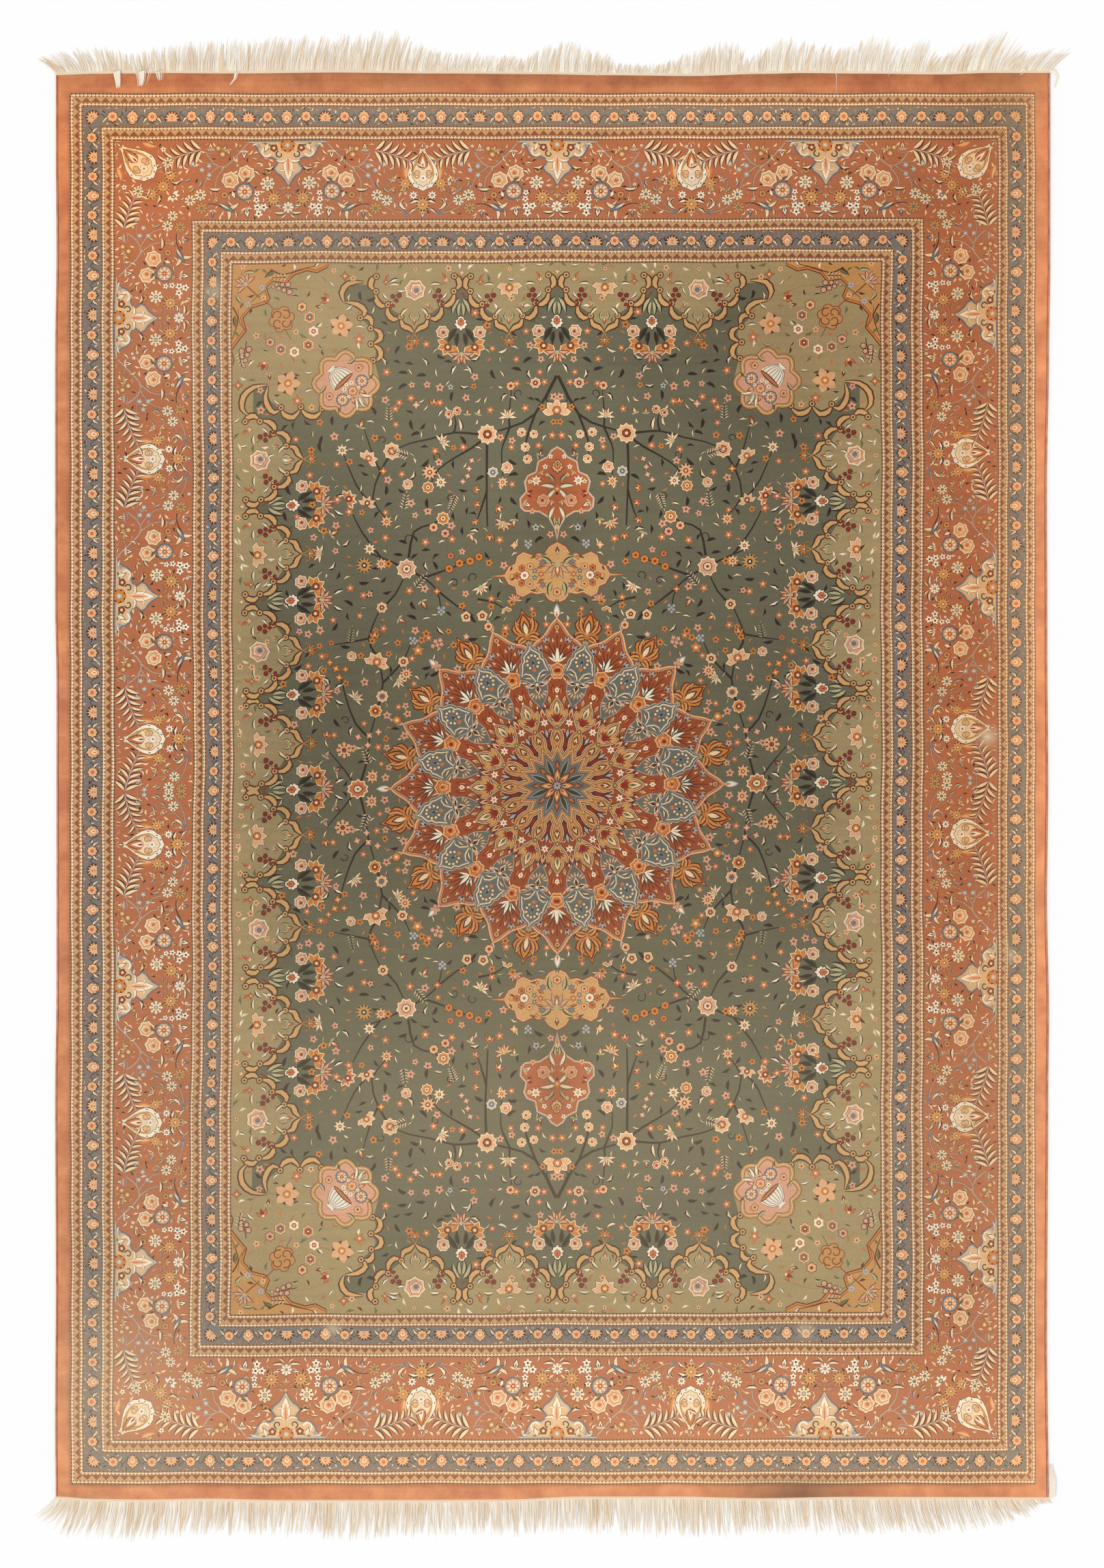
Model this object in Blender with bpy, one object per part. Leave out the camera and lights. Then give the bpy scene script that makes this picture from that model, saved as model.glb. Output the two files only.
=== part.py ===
# Hand-knotted silk rug lying flat, about 2.0 x 2.87 m without its fringes.
# Metres, +Z up. The underside lies on z = 0, and the origin is the middle of the rug.
# X runs across the rug and +Y towards the end that is the top of its design.
# Its pieces: the knotted rug with its pile, a whipped cord along each side, and at each end
# a flat-woven band that holds the knotted warp ends as fringe.

import random

import bmesh
import bpy
import numpy as np

HALF_WIDTH = 1.000  # middle of the rug to the outside of a side cord
HALF_LENGTH = 1.434  # middle of the rug to its last row of knots
PILE_THICKNESS = 0.0045  # foundation with its clipped pile
RIM_ROUND = 0.0012  # how far the pile rounds over at the rim
GAP = 0.0003  # between neighbouring pieces
ACROSS_STEPS = 18
ALONG_STEPS = 16

CORD_DIAMETER = 0.0044  # a side cord, whipped over with yarn

BAND_WIDTH = 0.0065  # flat-woven band past the last row of knots
BAND_THICKNESS = 0.0020
LOCKS_PER_END = 110  # each lock stands for a dozen loose warp ends
LOCK_ROOT_SHARE = 0.66  # of the pitch, so that the locks stand apart
LOCK_JITTER = 0.0022  # unevenness of the tips, sideways
LENGTH_JITTER = 0.08  # unevenness of the lengths, as a share
LOCK_RINGS = (  # share of the length, share of the root width, height in metres
    (0.36, 0.92, 0.0034),
    (0.74, 0.74, 0.0030),
    (1.00, 0.34, 0.0014),
)

# The hand-made outline isn't straight.
# Columns: share of the side from its -X or -Y end, outward offset in millimetres.
LEFT_SIDE = (
    (0.00, -0.8), (0.05, 0.4), (0.15, -1.0), (0.28, 0.4), (0.36, -2.4), (0.57, -2.4),
    (0.63, 0.4), (0.80, 0.4), (0.88, -2.4), (0.94, -1.0), (1.00, -1.0),
)
RIGHT_SIDE = (
    (0.00, 0.6), (0.11, -3.0), (0.28, -0.4), (0.34, 1.0), (0.42, -3.0), (0.50, -0.4),
    (0.60, -2.4), (0.71, -3.2), (0.80, 1.0), (0.87, 3.7), (1.00, 3.8),
)
TOP_END = (
    (0.00, -3.2), (0.04, -0.7), (0.11, 0.7), (0.18, 0.0), (0.28, 2.0), (0.38, 0.0),
    (0.49, -1.4), (0.55, -3.4), (0.64, -5.0), (0.71, -0.7), (0.75, 1.0), (0.81, 0.0),
    (0.89, -1.8), (0.94, 1.2), (1.00, 1.0),
)
BOTTOM_END = (
    (0.00, -4.0), (0.04, 0.7), (0.09, 2.0), (0.15, 0.0), (0.23, 2.8), (0.35, 2.8),
    (0.45, 2.0), (0.53, -4.1), (0.62, -4.1), (0.71, -0.6), (0.80, -3.4), (1.00, -2.6),
)

# How the fringe lies.
# Columns: share of the end from -X, length of the locks and lean of their tips to +X, in millimetres.
TOP_FRINGE = (
    (0.000, 30, -40), (0.020, 44, -28), (0.050, 50, -10), (0.075, 34, -4), (0.100, 48, 0),
    (0.160, 60, 6), (0.260, 64, 12), (0.335, 72, 16), (0.365, 46, 14), (0.410, 36, 12),
    (0.465, 30, 10), (0.490, 52, 12), (0.515, 62, 10), (0.548, 38, 8), (0.570, 20, 4),
    (0.600, 20, 4), (0.640, 46, 8), (0.675, 66, 8), (0.695, 32, 6), (0.725, 64, 12),
    (0.780, 46, 14), (0.820, 70, 16), (0.845, 48, 16), (0.865, 64, 18), (0.882, 32, 18),
    (0.905, 58, 24), (0.940, 76, 34), (0.958, 42, 34), (1.000, 40, 44),
)
BOTTOM_FRINGE = (
    (0.000, 42, -44), (0.020, 66, -26), (0.060, 72, -14), (0.150, 66, -8), (0.200, 62, -4),
    (0.300, 70, -4), (0.400, 62, 0), (0.500, 64, 2), (0.640, 72, 4), (0.730, 62, 8),
    (0.820, 68, 16), (0.900, 62, 20), (0.940, 52, 24), (0.965, 34, 26), (0.985, 12, 10),
    (1.000, 10, 8),
)
# Where the top fringe is turned back over the pile.
# Columns: from and to as shares of the end, reach over the pile in millimetres.
TURNED_BACK = ((0.052, 0.070, 26), (0.076, 0.098, 24))
TURN_OUT = 0.007  # how far a turned-back lock goes out before it comes back
TURN_HEIGHT = 0.0082
TURNED_LOCK_HEIGHT = 0.0024
# The last lock of each end curls round the corner and lies beside the rug.
# Columns: millimetres past the corner to +X, millimetres from the band away from the rug.
TOP_CURL = ((5, 8), (18, 4), (20, -12), (11, -28))
BOTTOM_CURL = ((6, 6), (18, 0), (20, -28), (16, -54), (11, -74))
CURL_HEIGHT = 0.0026
CURL_TIP_SHARE = 0.35

SALMON = (0.624, 0.216, 0.100)
CORD_RED = (0.300, 0.085, 0.045)
WARP_CREAM = (0.790, 0.680, 0.530)


def clear_scene():
    for thing in list(bpy.data.objects):
        bpy.data.objects.remove(thing, do_unlink=True)


def cloth_material(name, colour, roughness):
    material = bpy.data.materials.new(name)
    material.use_nodes = True
    shader = material.node_tree.nodes["Principled BSDF"]
    shader.inputs["Base Color"].default_value = (*colour, 1.0)
    shader.inputs["Roughness"].default_value = roughness
    shader.inputs["Metallic"].default_value = 0.0
    return material


def eased(table, share, column=1):
    """The table's value at these shares, eased between its rows so that an edge has no corners."""
    share = np.asarray(share, float)
    stations = np.array([row[0] for row in table])
    values = np.array([row[column] for row in table], float)
    at = np.clip(np.searchsorted(stations, share, side="right") - 1, 0, len(stations) - 2)
    step = np.clip((share - stations[at]) / (stations[at + 1] - stations[at]), 0.0, 1.0)
    step = step * step * (3.0 - 2.0 * step)
    return values[at] + (values[at + 1] - values[at]) * step


def cloth_point(across, along):
    """The point of the rug at these shares of its width and length, following its uneven outline."""
    across, along = np.asarray(across, float), np.asarray(along, float)
    left = -HALF_WIDTH - eased(LEFT_SIDE, along) / 1000
    right = HALF_WIDTH + eased(RIGHT_SIDE, along) / 1000
    bottom = -HALF_LENGTH - eased(BOTTOM_END, across) / 1000
    top = HALF_LENGTH + eased(TOP_END, across) / 1000
    return left + (right - left) * across, bottom + (top - bottom) * along


def mesh_object(name, vertices, faces, material):
    mesh = bpy.data.meshes.new(name)
    mesh.from_pydata([tuple(map(float, v)) for v in vertices], [], faces)
    thing = bpy.data.objects.new(name, mesh)
    bpy.context.scene.collection.objects.link(thing)
    mesh.materials.append(material)
    return thing


def knotted_rug(material):
    """The pile sheet: a grid that follows the outline, given its thickness and a rounded upper rim."""
    sheet = bmesh.new()
    bmesh.ops.create_grid(
        sheet, x_segments=ACROSS_STEPS, y_segments=ALONG_STEPS, size=0.5
    )
    inset = CORD_DIAMETER + GAP
    for vertex in sheet.verts:
        across, along = vertex.co.x + 0.5, vertex.co.y + 0.5
        x, y = cloth_point(across, along)
        x += inset * (1.0 - 2.0 * across)
        vertex.co = (float(x), float(y), 0.0)
    underside = list(sheet.faces)
    upper = bmesh.ops.extrude_face_region(sheet, geom=underside, use_keep_orig=True)
    raised = [v for v in upper["geom"] if isinstance(v, bmesh.types.BMVert)]
    bmesh.ops.translate(sheet, verts=raised, vec=(0.0, 0.0, PILE_THICKNESS))
    bmesh.ops.recalc_face_normals(sheet, faces=sheet.faces)
    rim = [
        edge
        for edge in sheet.edges
        if all(v.co.z > PILE_THICKNESS / 2 for v in edge.verts)
        and any(abs(face.normal.z) < 0.5 for face in edge.link_faces)
    ]
    bmesh.ops.bevel(
        sheet, geom=rim, offset=RIM_ROUND, segments=2, profile=0.5, affect="EDGES"
    )
    bmesh.ops.recalc_face_normals(sheet, faces=sheet.faces)
    mesh = bpy.data.meshes.new("knotted_rug")
    sheet.to_mesh(mesh)
    sheet.free()
    mesh.materials.append(material)
    rug = bpy.data.objects.new("knotted_rug", mesh)
    bpy.context.scene.collection.objects.link(rug)
    return rug


def side_cord(name, side, material):
    """A round whipped cord along one side. side is 0 for -X and 1 for +X."""
    along = np.linspace(0.0, 1.0, ALONG_STEPS + 1)
    x, y = cloth_point(np.full(len(along), float(side)), along)
    x = x + (CORD_DIAMETER / 2) * (1 - 2 * side)
    curve = bpy.data.curves.new(name, "CURVE")
    curve.dimensions = "3D"
    curve.bevel_depth = CORD_DIAMETER / 2
    curve.bevel_resolution = 2
    curve.use_fill_caps = True
    line = curve.splines.new("POLY")
    line.points.add(ALONG_STEPS)
    for point, px, py in zip(line.points, x, y):
        point.co = (float(px), float(py), CORD_DIAMETER / 2, 1.0)
    curve.materials.append(material)
    cord = bpy.data.objects.new(name, curve)
    bpy.context.scene.collection.objects.link(cord)
    return cord


def ring(left, right, low, high):
    """Four corners of a lock's section that stands upright between two points on the floor."""
    return (
        (left[0], left[1], low),
        (right[0], right[1], low),
        (right[0], right[1], high),
        (left[0], left[1], high),
    )


def lying_lock(root, width, length, lean, outward):
    """Rings of a lock that lies on the floor. It leaves the band squarely and bends over to its lean."""
    rings = []
    for share, width_share, height in LOCK_RINGS:
        x = root[0] + lean * share**1.4
        y = root[1] + outward * length * share
        half = width * width_share / 2
        rings.append(ring((x - half, y), (x + half, y), 0.0, height))
    return rings


def turned_lock(root, width, reach, outward):
    """Rings of a lock turned back over the pile: out of the band, up, and in over the rug."""
    path = (  # out from the band, height, share of the width, direction out, direction up
        (TURN_OUT * 0.80, 0.0030, 1.00, 0.50, 0.87),
        (TURN_OUT, 0.0058, 1.00, 0.00, 1.00),
        (TURN_OUT * 0.35, TURN_HEIGHT, 1.00, -0.87, 0.50),
        (-reach * 0.55, TURN_HEIGHT - 0.0004, 0.95, -1.00, 0.00),
        (-reach, TURN_HEIGHT - 0.0010, 0.50, -1.00, -0.10),
    )
    thick = TURNED_LOCK_HEIGHT / 2
    rings = []
    for out, height, share, run, rise in path:
        half = width * share / 2
        # the thickness is square to the direction, in the plane that the lock turns in
        low = (root[1] + outward * (out + thick * rise), height - thick * run)
        high = (root[1] + outward * (out - thick * rise), height + thick * run)
        rings.append((
            (root[0] - half, *low), (root[0] + half, *low),
            (root[0] + half, *high), (root[0] - half, *high),
        ))
    return rings


def curled_lock(root, width, curl, outward):
    """Rings of the lock that curls round a corner on the floor, each square to the curl's line."""
    points = np.array([(0.0, 0.0), *curl]) / 1000
    points[:, 1] *= outward
    points += root
    rings = []
    for at in range(1, len(points)):
        after = min(at + 1, len(points) - 1)
        line = points[after] - points[at - 1]
        line /= np.linalg.norm(line)
        side = np.array((-line[1], line[0])) * -outward
        share = 1.0 - (1.0 - CURL_TIP_SHARE) * (at - 1) / (len(points) - 2)
        half = width * share / 2
        height = CURL_HEIGHT * (1.0 + share) / 2
        rings.append(ring(points[at] - side * half, points[at] + side * half, 0.0, height))
    return rings


def fringed_end(name, upper, fringe, curl, material):
    """A flat-woven band along one end with its fringe, as one body.

    The band's outer wall has a face for each lock and one for each space between two locks. A lock
    is drawn out from its face ring by ring, so that its root is part of the band.
    """
    chance = random.Random(11 if upper else 23)
    outward = 1.0 if upper else -1.0
    along = 1.0 if upper else 0.0
    lanes = 2 * LOCKS_PER_END + 1
    half_root = LOCK_ROOT_SHARE / 2
    stations = [0.0]
    for index in range(LOCKS_PER_END):
        middle = (index + 0.5) / LOCKS_PER_END
        stations += [middle - half_root / LOCKS_PER_END, middle + half_root / LOCKS_PER_END]
    stations = np.array(stations + [1.0])
    x = cloth_point(stations, np.full(len(stations), along))[0]
    rug_stations = np.linspace(0.0, 1.0, ACROSS_STEPS + 1)
    y = np.interp(x, *cloth_point(rug_stations, np.full(len(rug_stations), along)))
    inner, outer = y + outward * GAP, y + outward * (GAP + BAND_WIDTH)

    vertices, faces = [], []
    for px, near, far in zip(x, inner, outer):
        vertices += [(px, near, 0.0), (px, near, BAND_THICKNESS)]
        vertices += [(px, far, 0.0), (px, far, BAND_THICKNESS)]
    for lane in range(lanes):
        a, b = 4 * lane, 4 * (lane + 1)
        faces.append((a, b, b + 1, a + 1))  # towards the rug
        faces.append((a + 1, b + 1, b + 3, a + 3))  # top
        faces.append((a + 2, b + 2, b, a))  # underside
        if lane % 2 == 0:
            faces.append((a + 3, b + 3, b + 2, a + 2))  # space between two locks
            continue
        index = lane // 2
        middle = (index + 0.5) / LOCKS_PER_END
        root = ((x[lane] + x[lane + 1]) / 2, (outer[lane] + outer[lane + 1]) / 2)
        width = x[lane + 1] - x[lane]
        length = eased(fringe, middle, 1) / 1000 * (1 + LENGTH_JITTER * chance.uniform(-1, 1))
        lean = eased(fringe, middle, 2) / 1000 + LOCK_JITTER * chance.uniform(-1, 1)
        turned = [row[2] for row in TURNED_BACK if upper and row[0] <= middle <= row[1]]
        if turned:
            rings = turned_lock(root, width, turned[0] / 1000, outward)
        elif index == LOCKS_PER_END - 1:
            rings = curled_lock(root, width, curl, outward)
        else:
            rings = lying_lock(root, width, length, lean, outward)
        before = (a + 2, b + 2, b + 3, a + 3)
        for section in rings:
            first = len(vertices)
            vertices += section
            after = tuple(range(first, first + 4))
            for side in range(4):
                turn = (side + 1) % 4
                faces.append((before[side], before[turn], after[turn], after[side]))
            before = after
        faces.append(before)
    last = 4 * lanes
    faces.append((0, 1, 3, 2))
    faces.append((last + 1, last, last + 2, last + 3))
    band = mesh_object(name, vertices, faces, material)
    shape = bmesh.new()
    shape.from_mesh(band.data)
    bmesh.ops.recalc_face_normals(shape, faces=shape.faces)
    shape.to_mesh(band.data)
    shape.free()
    return band


def build_rug():
    clear_scene()
    pile = cloth_material("silk_pile", SALMON, 0.62)
    whipping = cloth_material("whipped_silk", CORD_RED, 0.70)
    warp = cloth_material("silk_warp", WARP_CREAM, 0.68)
    knotted_rug(pile)
    side_cord("side_cord_left", 0, whipping)
    side_cord("side_cord_right", 1, whipping)
    fringed_end("fringe_top", True, TOP_FRINGE, TOP_CURL, warp)
    fringed_end("fringe_bottom", False, BOTTOM_FRINGE, BOTTOM_CURL, warp)


build_rug()
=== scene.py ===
import bpy
import numpy as np
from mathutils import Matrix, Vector
from mathutils.geometry import delaunay_2d_cdt


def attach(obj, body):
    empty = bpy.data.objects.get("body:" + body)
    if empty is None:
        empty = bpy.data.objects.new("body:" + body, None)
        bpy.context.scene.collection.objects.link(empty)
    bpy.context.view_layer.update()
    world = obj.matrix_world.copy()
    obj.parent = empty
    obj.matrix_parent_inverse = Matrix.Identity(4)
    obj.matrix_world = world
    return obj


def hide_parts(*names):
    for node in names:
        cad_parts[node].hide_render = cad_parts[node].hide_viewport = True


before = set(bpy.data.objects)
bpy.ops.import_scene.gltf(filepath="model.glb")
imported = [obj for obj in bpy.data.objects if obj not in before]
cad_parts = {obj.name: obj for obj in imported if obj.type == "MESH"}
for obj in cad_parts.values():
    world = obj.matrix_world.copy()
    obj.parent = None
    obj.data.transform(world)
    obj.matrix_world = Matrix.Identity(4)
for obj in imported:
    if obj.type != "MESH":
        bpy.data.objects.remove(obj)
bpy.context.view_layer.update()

chance = np.random.default_rng(7)

rug = {
    "halfWidth": 1.000,  # metres, middle of the rug to the outside of a side cord
    "halfLength": 1.434,  # middle of the rug to its last row of knots
    "pileTop": 0.0045,
    "baseTop": 0.0012,  # top of the woven foundation, where the pile starts
    "knot": 0.0013755,  # metres for one knot of the chart
    "cordDiameter": 0.0044,
    "gap": 0.0003,
    "bandWidth": 0.0065,  # flat-woven band past the last row of knots
    "bandThickness": 0.0020,
}

# The hand-made outline isn't straight.
# Columns: share of the side from its -X or -Y end, outward offset in millimetres.
leftSide = (
    (0.00, -0.8), (0.05, 0.4), (0.15, -1.0), (0.28, 0.4), (0.36, -2.4), (0.57, -2.4),
    (0.63, 0.4), (0.80, 0.4), (0.88, -2.4), (0.94, -1.0), (1.00, -1.0),
)
rightSide = (
    (0.00, 0.6), (0.11, -3.0), (0.28, -0.4), (0.34, 1.0), (0.42, -3.0), (0.50, -0.4),
    (0.60, -2.4), (0.71, -3.2), (0.80, 1.0), (0.87, 3.7), (1.00, 3.8),
)
topEnd = (
    (0.00, -3.2), (0.04, -0.7), (0.11, 0.7), (0.18, 0.0), (0.28, 2.0), (0.38, 0.0),
    (0.49, -1.4), (0.55, -3.4), (0.64, -5.0), (0.71, -0.7), (0.75, 1.0), (0.81, 0.0),
    (0.89, -1.8), (0.94, 1.2), (1.00, 1.0),
)
bottomEnd = (
    (0.00, -4.0), (0.04, 0.7), (0.09, 2.0), (0.15, 0.0), (0.23, 2.8), (0.35, 2.8),
    (0.45, 2.0), (0.53, -4.1), (0.62, -4.1), (0.71, -0.6), (0.80, -3.4), (1.00, -2.6),
)

# Edges of the bands in knots of the chart, from the middle outwards.
# Order: field, inner guard, blue band, guard, main border, guard, blue band, outer guard, plain edge.
chartAcross = (0, 475, 494.5, 517.5, 537.3, 645.3, 663.3, 687.3, 705.3, 727.3)
chartAlong = (0, 767, 787, 811, 831, 949, 969, 994.5, 1015, 1038)
# The same edges as they were woven, in knots from the middle of the rug, which the weaver let wander.
# Columns: place along (or across), then the nine edges.
wovenLeft = (
    (1000, -468, -488, -509, -529, -640, -660.5, -685.5, -706),
    (50, -465.5, -485.5, -506.5, -526, -639, -660.5, -685.5, -706),
    (-750, -469.7, -489, -512, -532, -640.6, -660.4, -685, -705),
)
wovenRight = ((0, 481, 500.5, 524.5, 545, 652, 668.5, 692.7, 708),)
wovenTop = ((0, 765, 785.6, 810.5, 830.5, 945, 966.5, 993.8, 1014.5),)
wovenBottom = ((0, -771, -791, -815, -835.5, -955, -975.8, -1001.5, -1022.4),)
chartReach = (727.0, 1038.0)  # knots from the middle to the cloth's sides and ends
sideRise = 10.2  # the middle of each row climbs this many knots on its way to the right side
middleAcross = 7.7  # the woven axis lies this far to +X
medallionRadius = 266  # round tile that holds the medallion and its flames

# Dyed silks, as they look now.
silks = {
    "fieldGround": "#69654d", "spandrelGround": "#a69064", "borderGround": "#b56a42", "bandGround": "#78716b",
    "medallionGround": "#9a4a1e", "lambrequinGround": "#e0b688", "gold": "#cf9a58", "teal": "#6a6b60",
    "cream": "#efd2a8", "white": "#f6e6cb", "peach": "#e6ae7e", "pink": "#dba080", "coral": "#c9703d",
    "orange": "#d07c30", "ochre": "#c48f52", "tan": "#a67a48", "rust": "#8c3e14", "maroon": "#5a200e",
    "brown": "#4e2a14", "dark": "#2c1d12", "stem": "#33251a", "blue": "#6f7880", "paleBlue": "#aeb0ac",
    "lavender": "#b8957f", "green": "#6d6b3f", "darkGreen": "#3c3d28", "sage": "#b9b083", "red": "#8a240c",
    "straw": "#d4a468", "brick": "#b8663c",
}


def linear(code):
    # sRGB hex to linear: c/12.92 low down, ((c + 0.055)/1.055)^2.4 above
    value = np.array([int(code[i:i + 2], 16) for i in (1, 3, 5)]) / 255.0
    return np.where(value <= 0.04045, value / 12.92, ((value + 0.055) / 1.055) ** 2.4)


silkNames = list(silks)
silkColours = np.array([linear(silks[name]) for name in silkNames])


def eased(table, share):
    # value between two rows = first + (second - first) * (3 s^2 - 2 s^3), s the share of the way
    table = np.array(table, float)
    at = np.clip(np.searchsorted(table[:, 0], share, side="right") - 1, 0, len(table) - 2)
    s = np.clip((share - table[at, 0]) / (table[at + 1, 0] - table[at, 0]), 0.0, 1.0)
    return table[at, 1] + (table[at + 1, 1] - table[at, 1]) * s * s * (3.0 - 2.0 * s)


def clothPoint(across, along):
    # point at these shares of width and length: the straight line between the two uneven sides
    across, along = np.asarray(across, float), np.asarray(along, float)
    left = -rug["halfWidth"] - eased(leftSide, along) / 1000
    right = rug["halfWidth"] + eased(rightSide, along) / 1000
    bottom = -rug["halfLength"] - eased(bottomEnd, across) / 1000
    top = rug["halfLength"] + eased(topEnd, across) / 1000
    return left + (right - left) * across, bottom + (top - bottom) * along


def pileHeight(x, y):
    # the pile lies a little uneven: long low waves, less than a millimetre
    wave = np.sin(x * 3.1 + y * 1.7 + 0.6) + np.sin(x * 6.3 - y * 4.9 + 2.0) + np.sin(y * 8.7 - x * 1.3)
    return rug["pileTop"] + 0.00016 * wave


def wovenEdge(table, chartEdges, place, value):
    # edges between two rows of the table are mixed by distance, then the chart is stretched between edges
    rows = sorted(table)
    stations = np.array([row[0] for row in rows], float)
    outer = 1.0 if rows[0][1] > 0 else -1.0
    start = middleAcross if chartEdges is chartAcross else 0.0
    result = np.zeros_like(value)
    weights = [np.interp(place, stations, np.eye(len(rows))[i]) for i in range(len(rows))]
    for weight, row in zip(weights, rows):
        edges = (start, *row[1:], row[-1] + outer * 22)
        result = result + weight * np.interp(value, chartEdges, edges)
    return result


def wovenPoint(x, y):
    # chart knots to metres on the rug; the middle of each side sits higher on the right than on the left
    ax, ay = np.abs(x), np.abs(y)
    knotX = np.where(x < 0, wovenEdge(wovenLeft, chartAcross, y, ax),
                     wovenEdge(wovenRight, chartAcross, y, ax))
    knotY = np.where(y < 0, wovenEdge(wovenBottom, chartAlong, x, ay), wovenEdge(wovenTop, chartAlong, x, ay))
    knotY = knotY + sideRise * (x / chartReach[0]) * (1.0 - ay / chartReach[1])
    knotX = knotX + 0.9 * np.sin(y / 61.0 + 0.4) * np.sin(ax / 250.0) + 0.5 * np.sin(y / 23.0)
    knotY = knotY + 0.9 * np.sin(x / 57.0 + 1.4) * np.sin(ay / 300.0) + 0.5 * np.sin(x / 27.0 + 2.0)
    return knotX * rug["knot"], knotY * rug["knot"]


# Shapes of the cartoon, all in knots.

def disc(radius, squash=1.0):
    # x = r cos a, y = squash r sin a; larger discs get more corners
    a = np.linspace(0, 2 * np.pi, int(np.clip(4.2 + radius * 0.5, 4, 14)), endpoint=False)
    return np.stack((radius * np.cos(a), squash * radius * np.sin(a)), 1)


def scallop(radius, lobes, depth=0.2):
    # r = radius (1 - depth (1 - |cos(lobes a / 2)|)); wider lobes get more corners
    perLobe = 2 * int(np.clip(radius * 0.63 / lobes, 1, 3))
    a = np.linspace(0, 2 * np.pi, lobes * perLobe, endpoint=False)
    r = radius * (1.0 - depth * (1.0 - np.abs(np.cos(lobes * a / 2.0))))
    return np.stack((r * np.sin(a), r * np.cos(a)), 1)


def star(radius, points, inner=0.5):
    # r alternates between the tips and the valleys
    a = np.linspace(0, 2 * np.pi, points * 2, endpoint=False)
    r = np.where(np.arange(points * 2) % 2 == 0, radius, radius * inner)
    return np.stack((r * np.sin(a), r * np.cos(a)), 1)


def blade(length, width, bend=0.0, fat=0.8):
    # half width = width/2 sin(pi t^fat); its middle line turns by bend degrees on the way to the tip
    count = int(np.clip(length / 5.2, 2, 6))
    t = np.linspace(0, 1, count + 1)
    half = width / 2 * np.sin(np.pi * t**fat)
    heading = np.radians(bend) * t
    step = length / count
    x = np.concatenate(((0,), np.cumsum(np.sin(heading[1:]) * step)))
    y = np.concatenate(((0,), np.cumsum(np.cos(heading[1:]) * step)))
    nx, ny = np.cos(heading), -np.sin(heading)
    right = np.stack((x + half * nx, y + half * ny), 1)
    left = np.stack((x - half * nx, y - half * ny), 1)
    return np.concatenate((right, left[-2:0:-1]))


def stroke(points, startWidth, endWidth=None, steps=2, belly=0.0):
    # a smooth line through the points, offset to both sides by half its width plus belly sin(pi t) / 2
    points = np.array(points, float)
    endWidth = startWidth if endWidth is None else endWidth
    ends = np.concatenate((points[:1] * 2 - points[1:2], points, points[-1:] * 2 - points[-2:-1]))
    t = np.linspace(0, 1, steps, endpoint=False)[:, None]
    pieces = []
    for i in range(len(points) - 1):
        a, b, c, d = ends[i:i + 4]
        pieces.append(b + 0.5 * t * (c - a + t * (2 * a - 5 * b + 4 * c - d + t * (3 * b - 3 * c + d - a))))
    line = np.concatenate((*pieces, points[-1:]))
    slope = np.gradient(line, axis=0)
    slope /= np.maximum(np.hypot(slope[:, 0], slope[:, 1]), 1e-6)[:, None]
    half = np.linspace(startWidth, endWidth, len(line))[:, None] / 2
    half = half + belly / 2 * np.sin(np.pi * np.linspace(0, 1, len(line)))[:, None]
    side = np.stack((slope[:, 1], -slope[:, 0]), 1) * half
    return np.concatenate((line + side, (line - side)[::-1]))


def both(points):
    # a half outline and its mirror image joined into one closed outline
    points = np.array(points, float)
    back = points[::-1] * (-1, 1)
    return np.concatenate((points, back[np.abs(back[:, 0]) > 1e-6]))


def inset(outline, by):
    # every corner moves inwards by this much along the normal of the line between its neighbours
    side = np.roll(outline, -1, 0) - np.roll(outline, 1, 0)
    side /= np.maximum(np.hypot(side[:, 0], side[:, 1]), 1e-6)[:, None]
    x, y = outline[:, 0], outline[:, 1]
    way = np.sign(np.sum(x * np.roll(y, -1) - y * np.roll(x, -1)))
    return outline + np.stack((-side[:, 1], side[:, 0]), 1) * way * by


def rimmed(outline, *rings):
    # the outline and its insets: each ring is a distance inwards from the last and a silk
    layers, depth = [], 0.0
    for by, silk in rings:
        depth += by
        layers.append((inset(outline, depth), silk))
    return layers


def moved(motif, x=0.0, y=0.0, turn=0.0, size=1.0, flip=False):
    # the motif mirrored if flip, sized, turned anticlockwise by turn degrees and placed
    c, s = np.cos(np.radians(turn)) * size, np.sin(np.radians(turn)) * size
    grid = np.array(((c, s), (-s, c)))
    if flip:
        grid = np.array(((-1.0, 0.0), (0.0, 1.0))) @ grid
    return [(shape @ grid + (x, y), silk) for shape, silk in motif]


# Flowers and leaves of the cartoon, each a list of (outline, silk) from the lowest layer up.
# They stand on or around the origin with their tops to +Y.

def rosette(r, silk="peach", rim="brown", heart="rust", eye="cream", count=8):
    if r < 9:
        return [(scallop(r, count), rim), (scallop(r * 0.86, count), silk), (disc(r * 0.36), heart)]
    layers = [(scallop(r, count), rim), (scallop(r - 0.6, count), "cream"),
              (scallop(r * 0.86 - 0.8, count), silk)]
    return layers + [(disc(r * 0.44), rim), (disc(r * 0.36), heart), (disc(r * 0.17), eye)]


def ringed(r, silk="blue", light="cream", heart="coral"):
    # a broad scalloped ring of one silk round pale petals
    layers = [(scallop(r, 12, 0.1), "brown"), (scallop(r - 0.6, 12, 0.1), silk),
              (disc(r * 0.74), light), (disc(r * 0.7), heart)]
    for i in range(8):
        layers += moved([(blade(r * 0.5, r * 0.34) + (0, r * 0.22), light)], turn=45 * i)
    return layers + [(disc(r * 0.24), "rust"), (disc(r * 0.12), light)]


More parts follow.
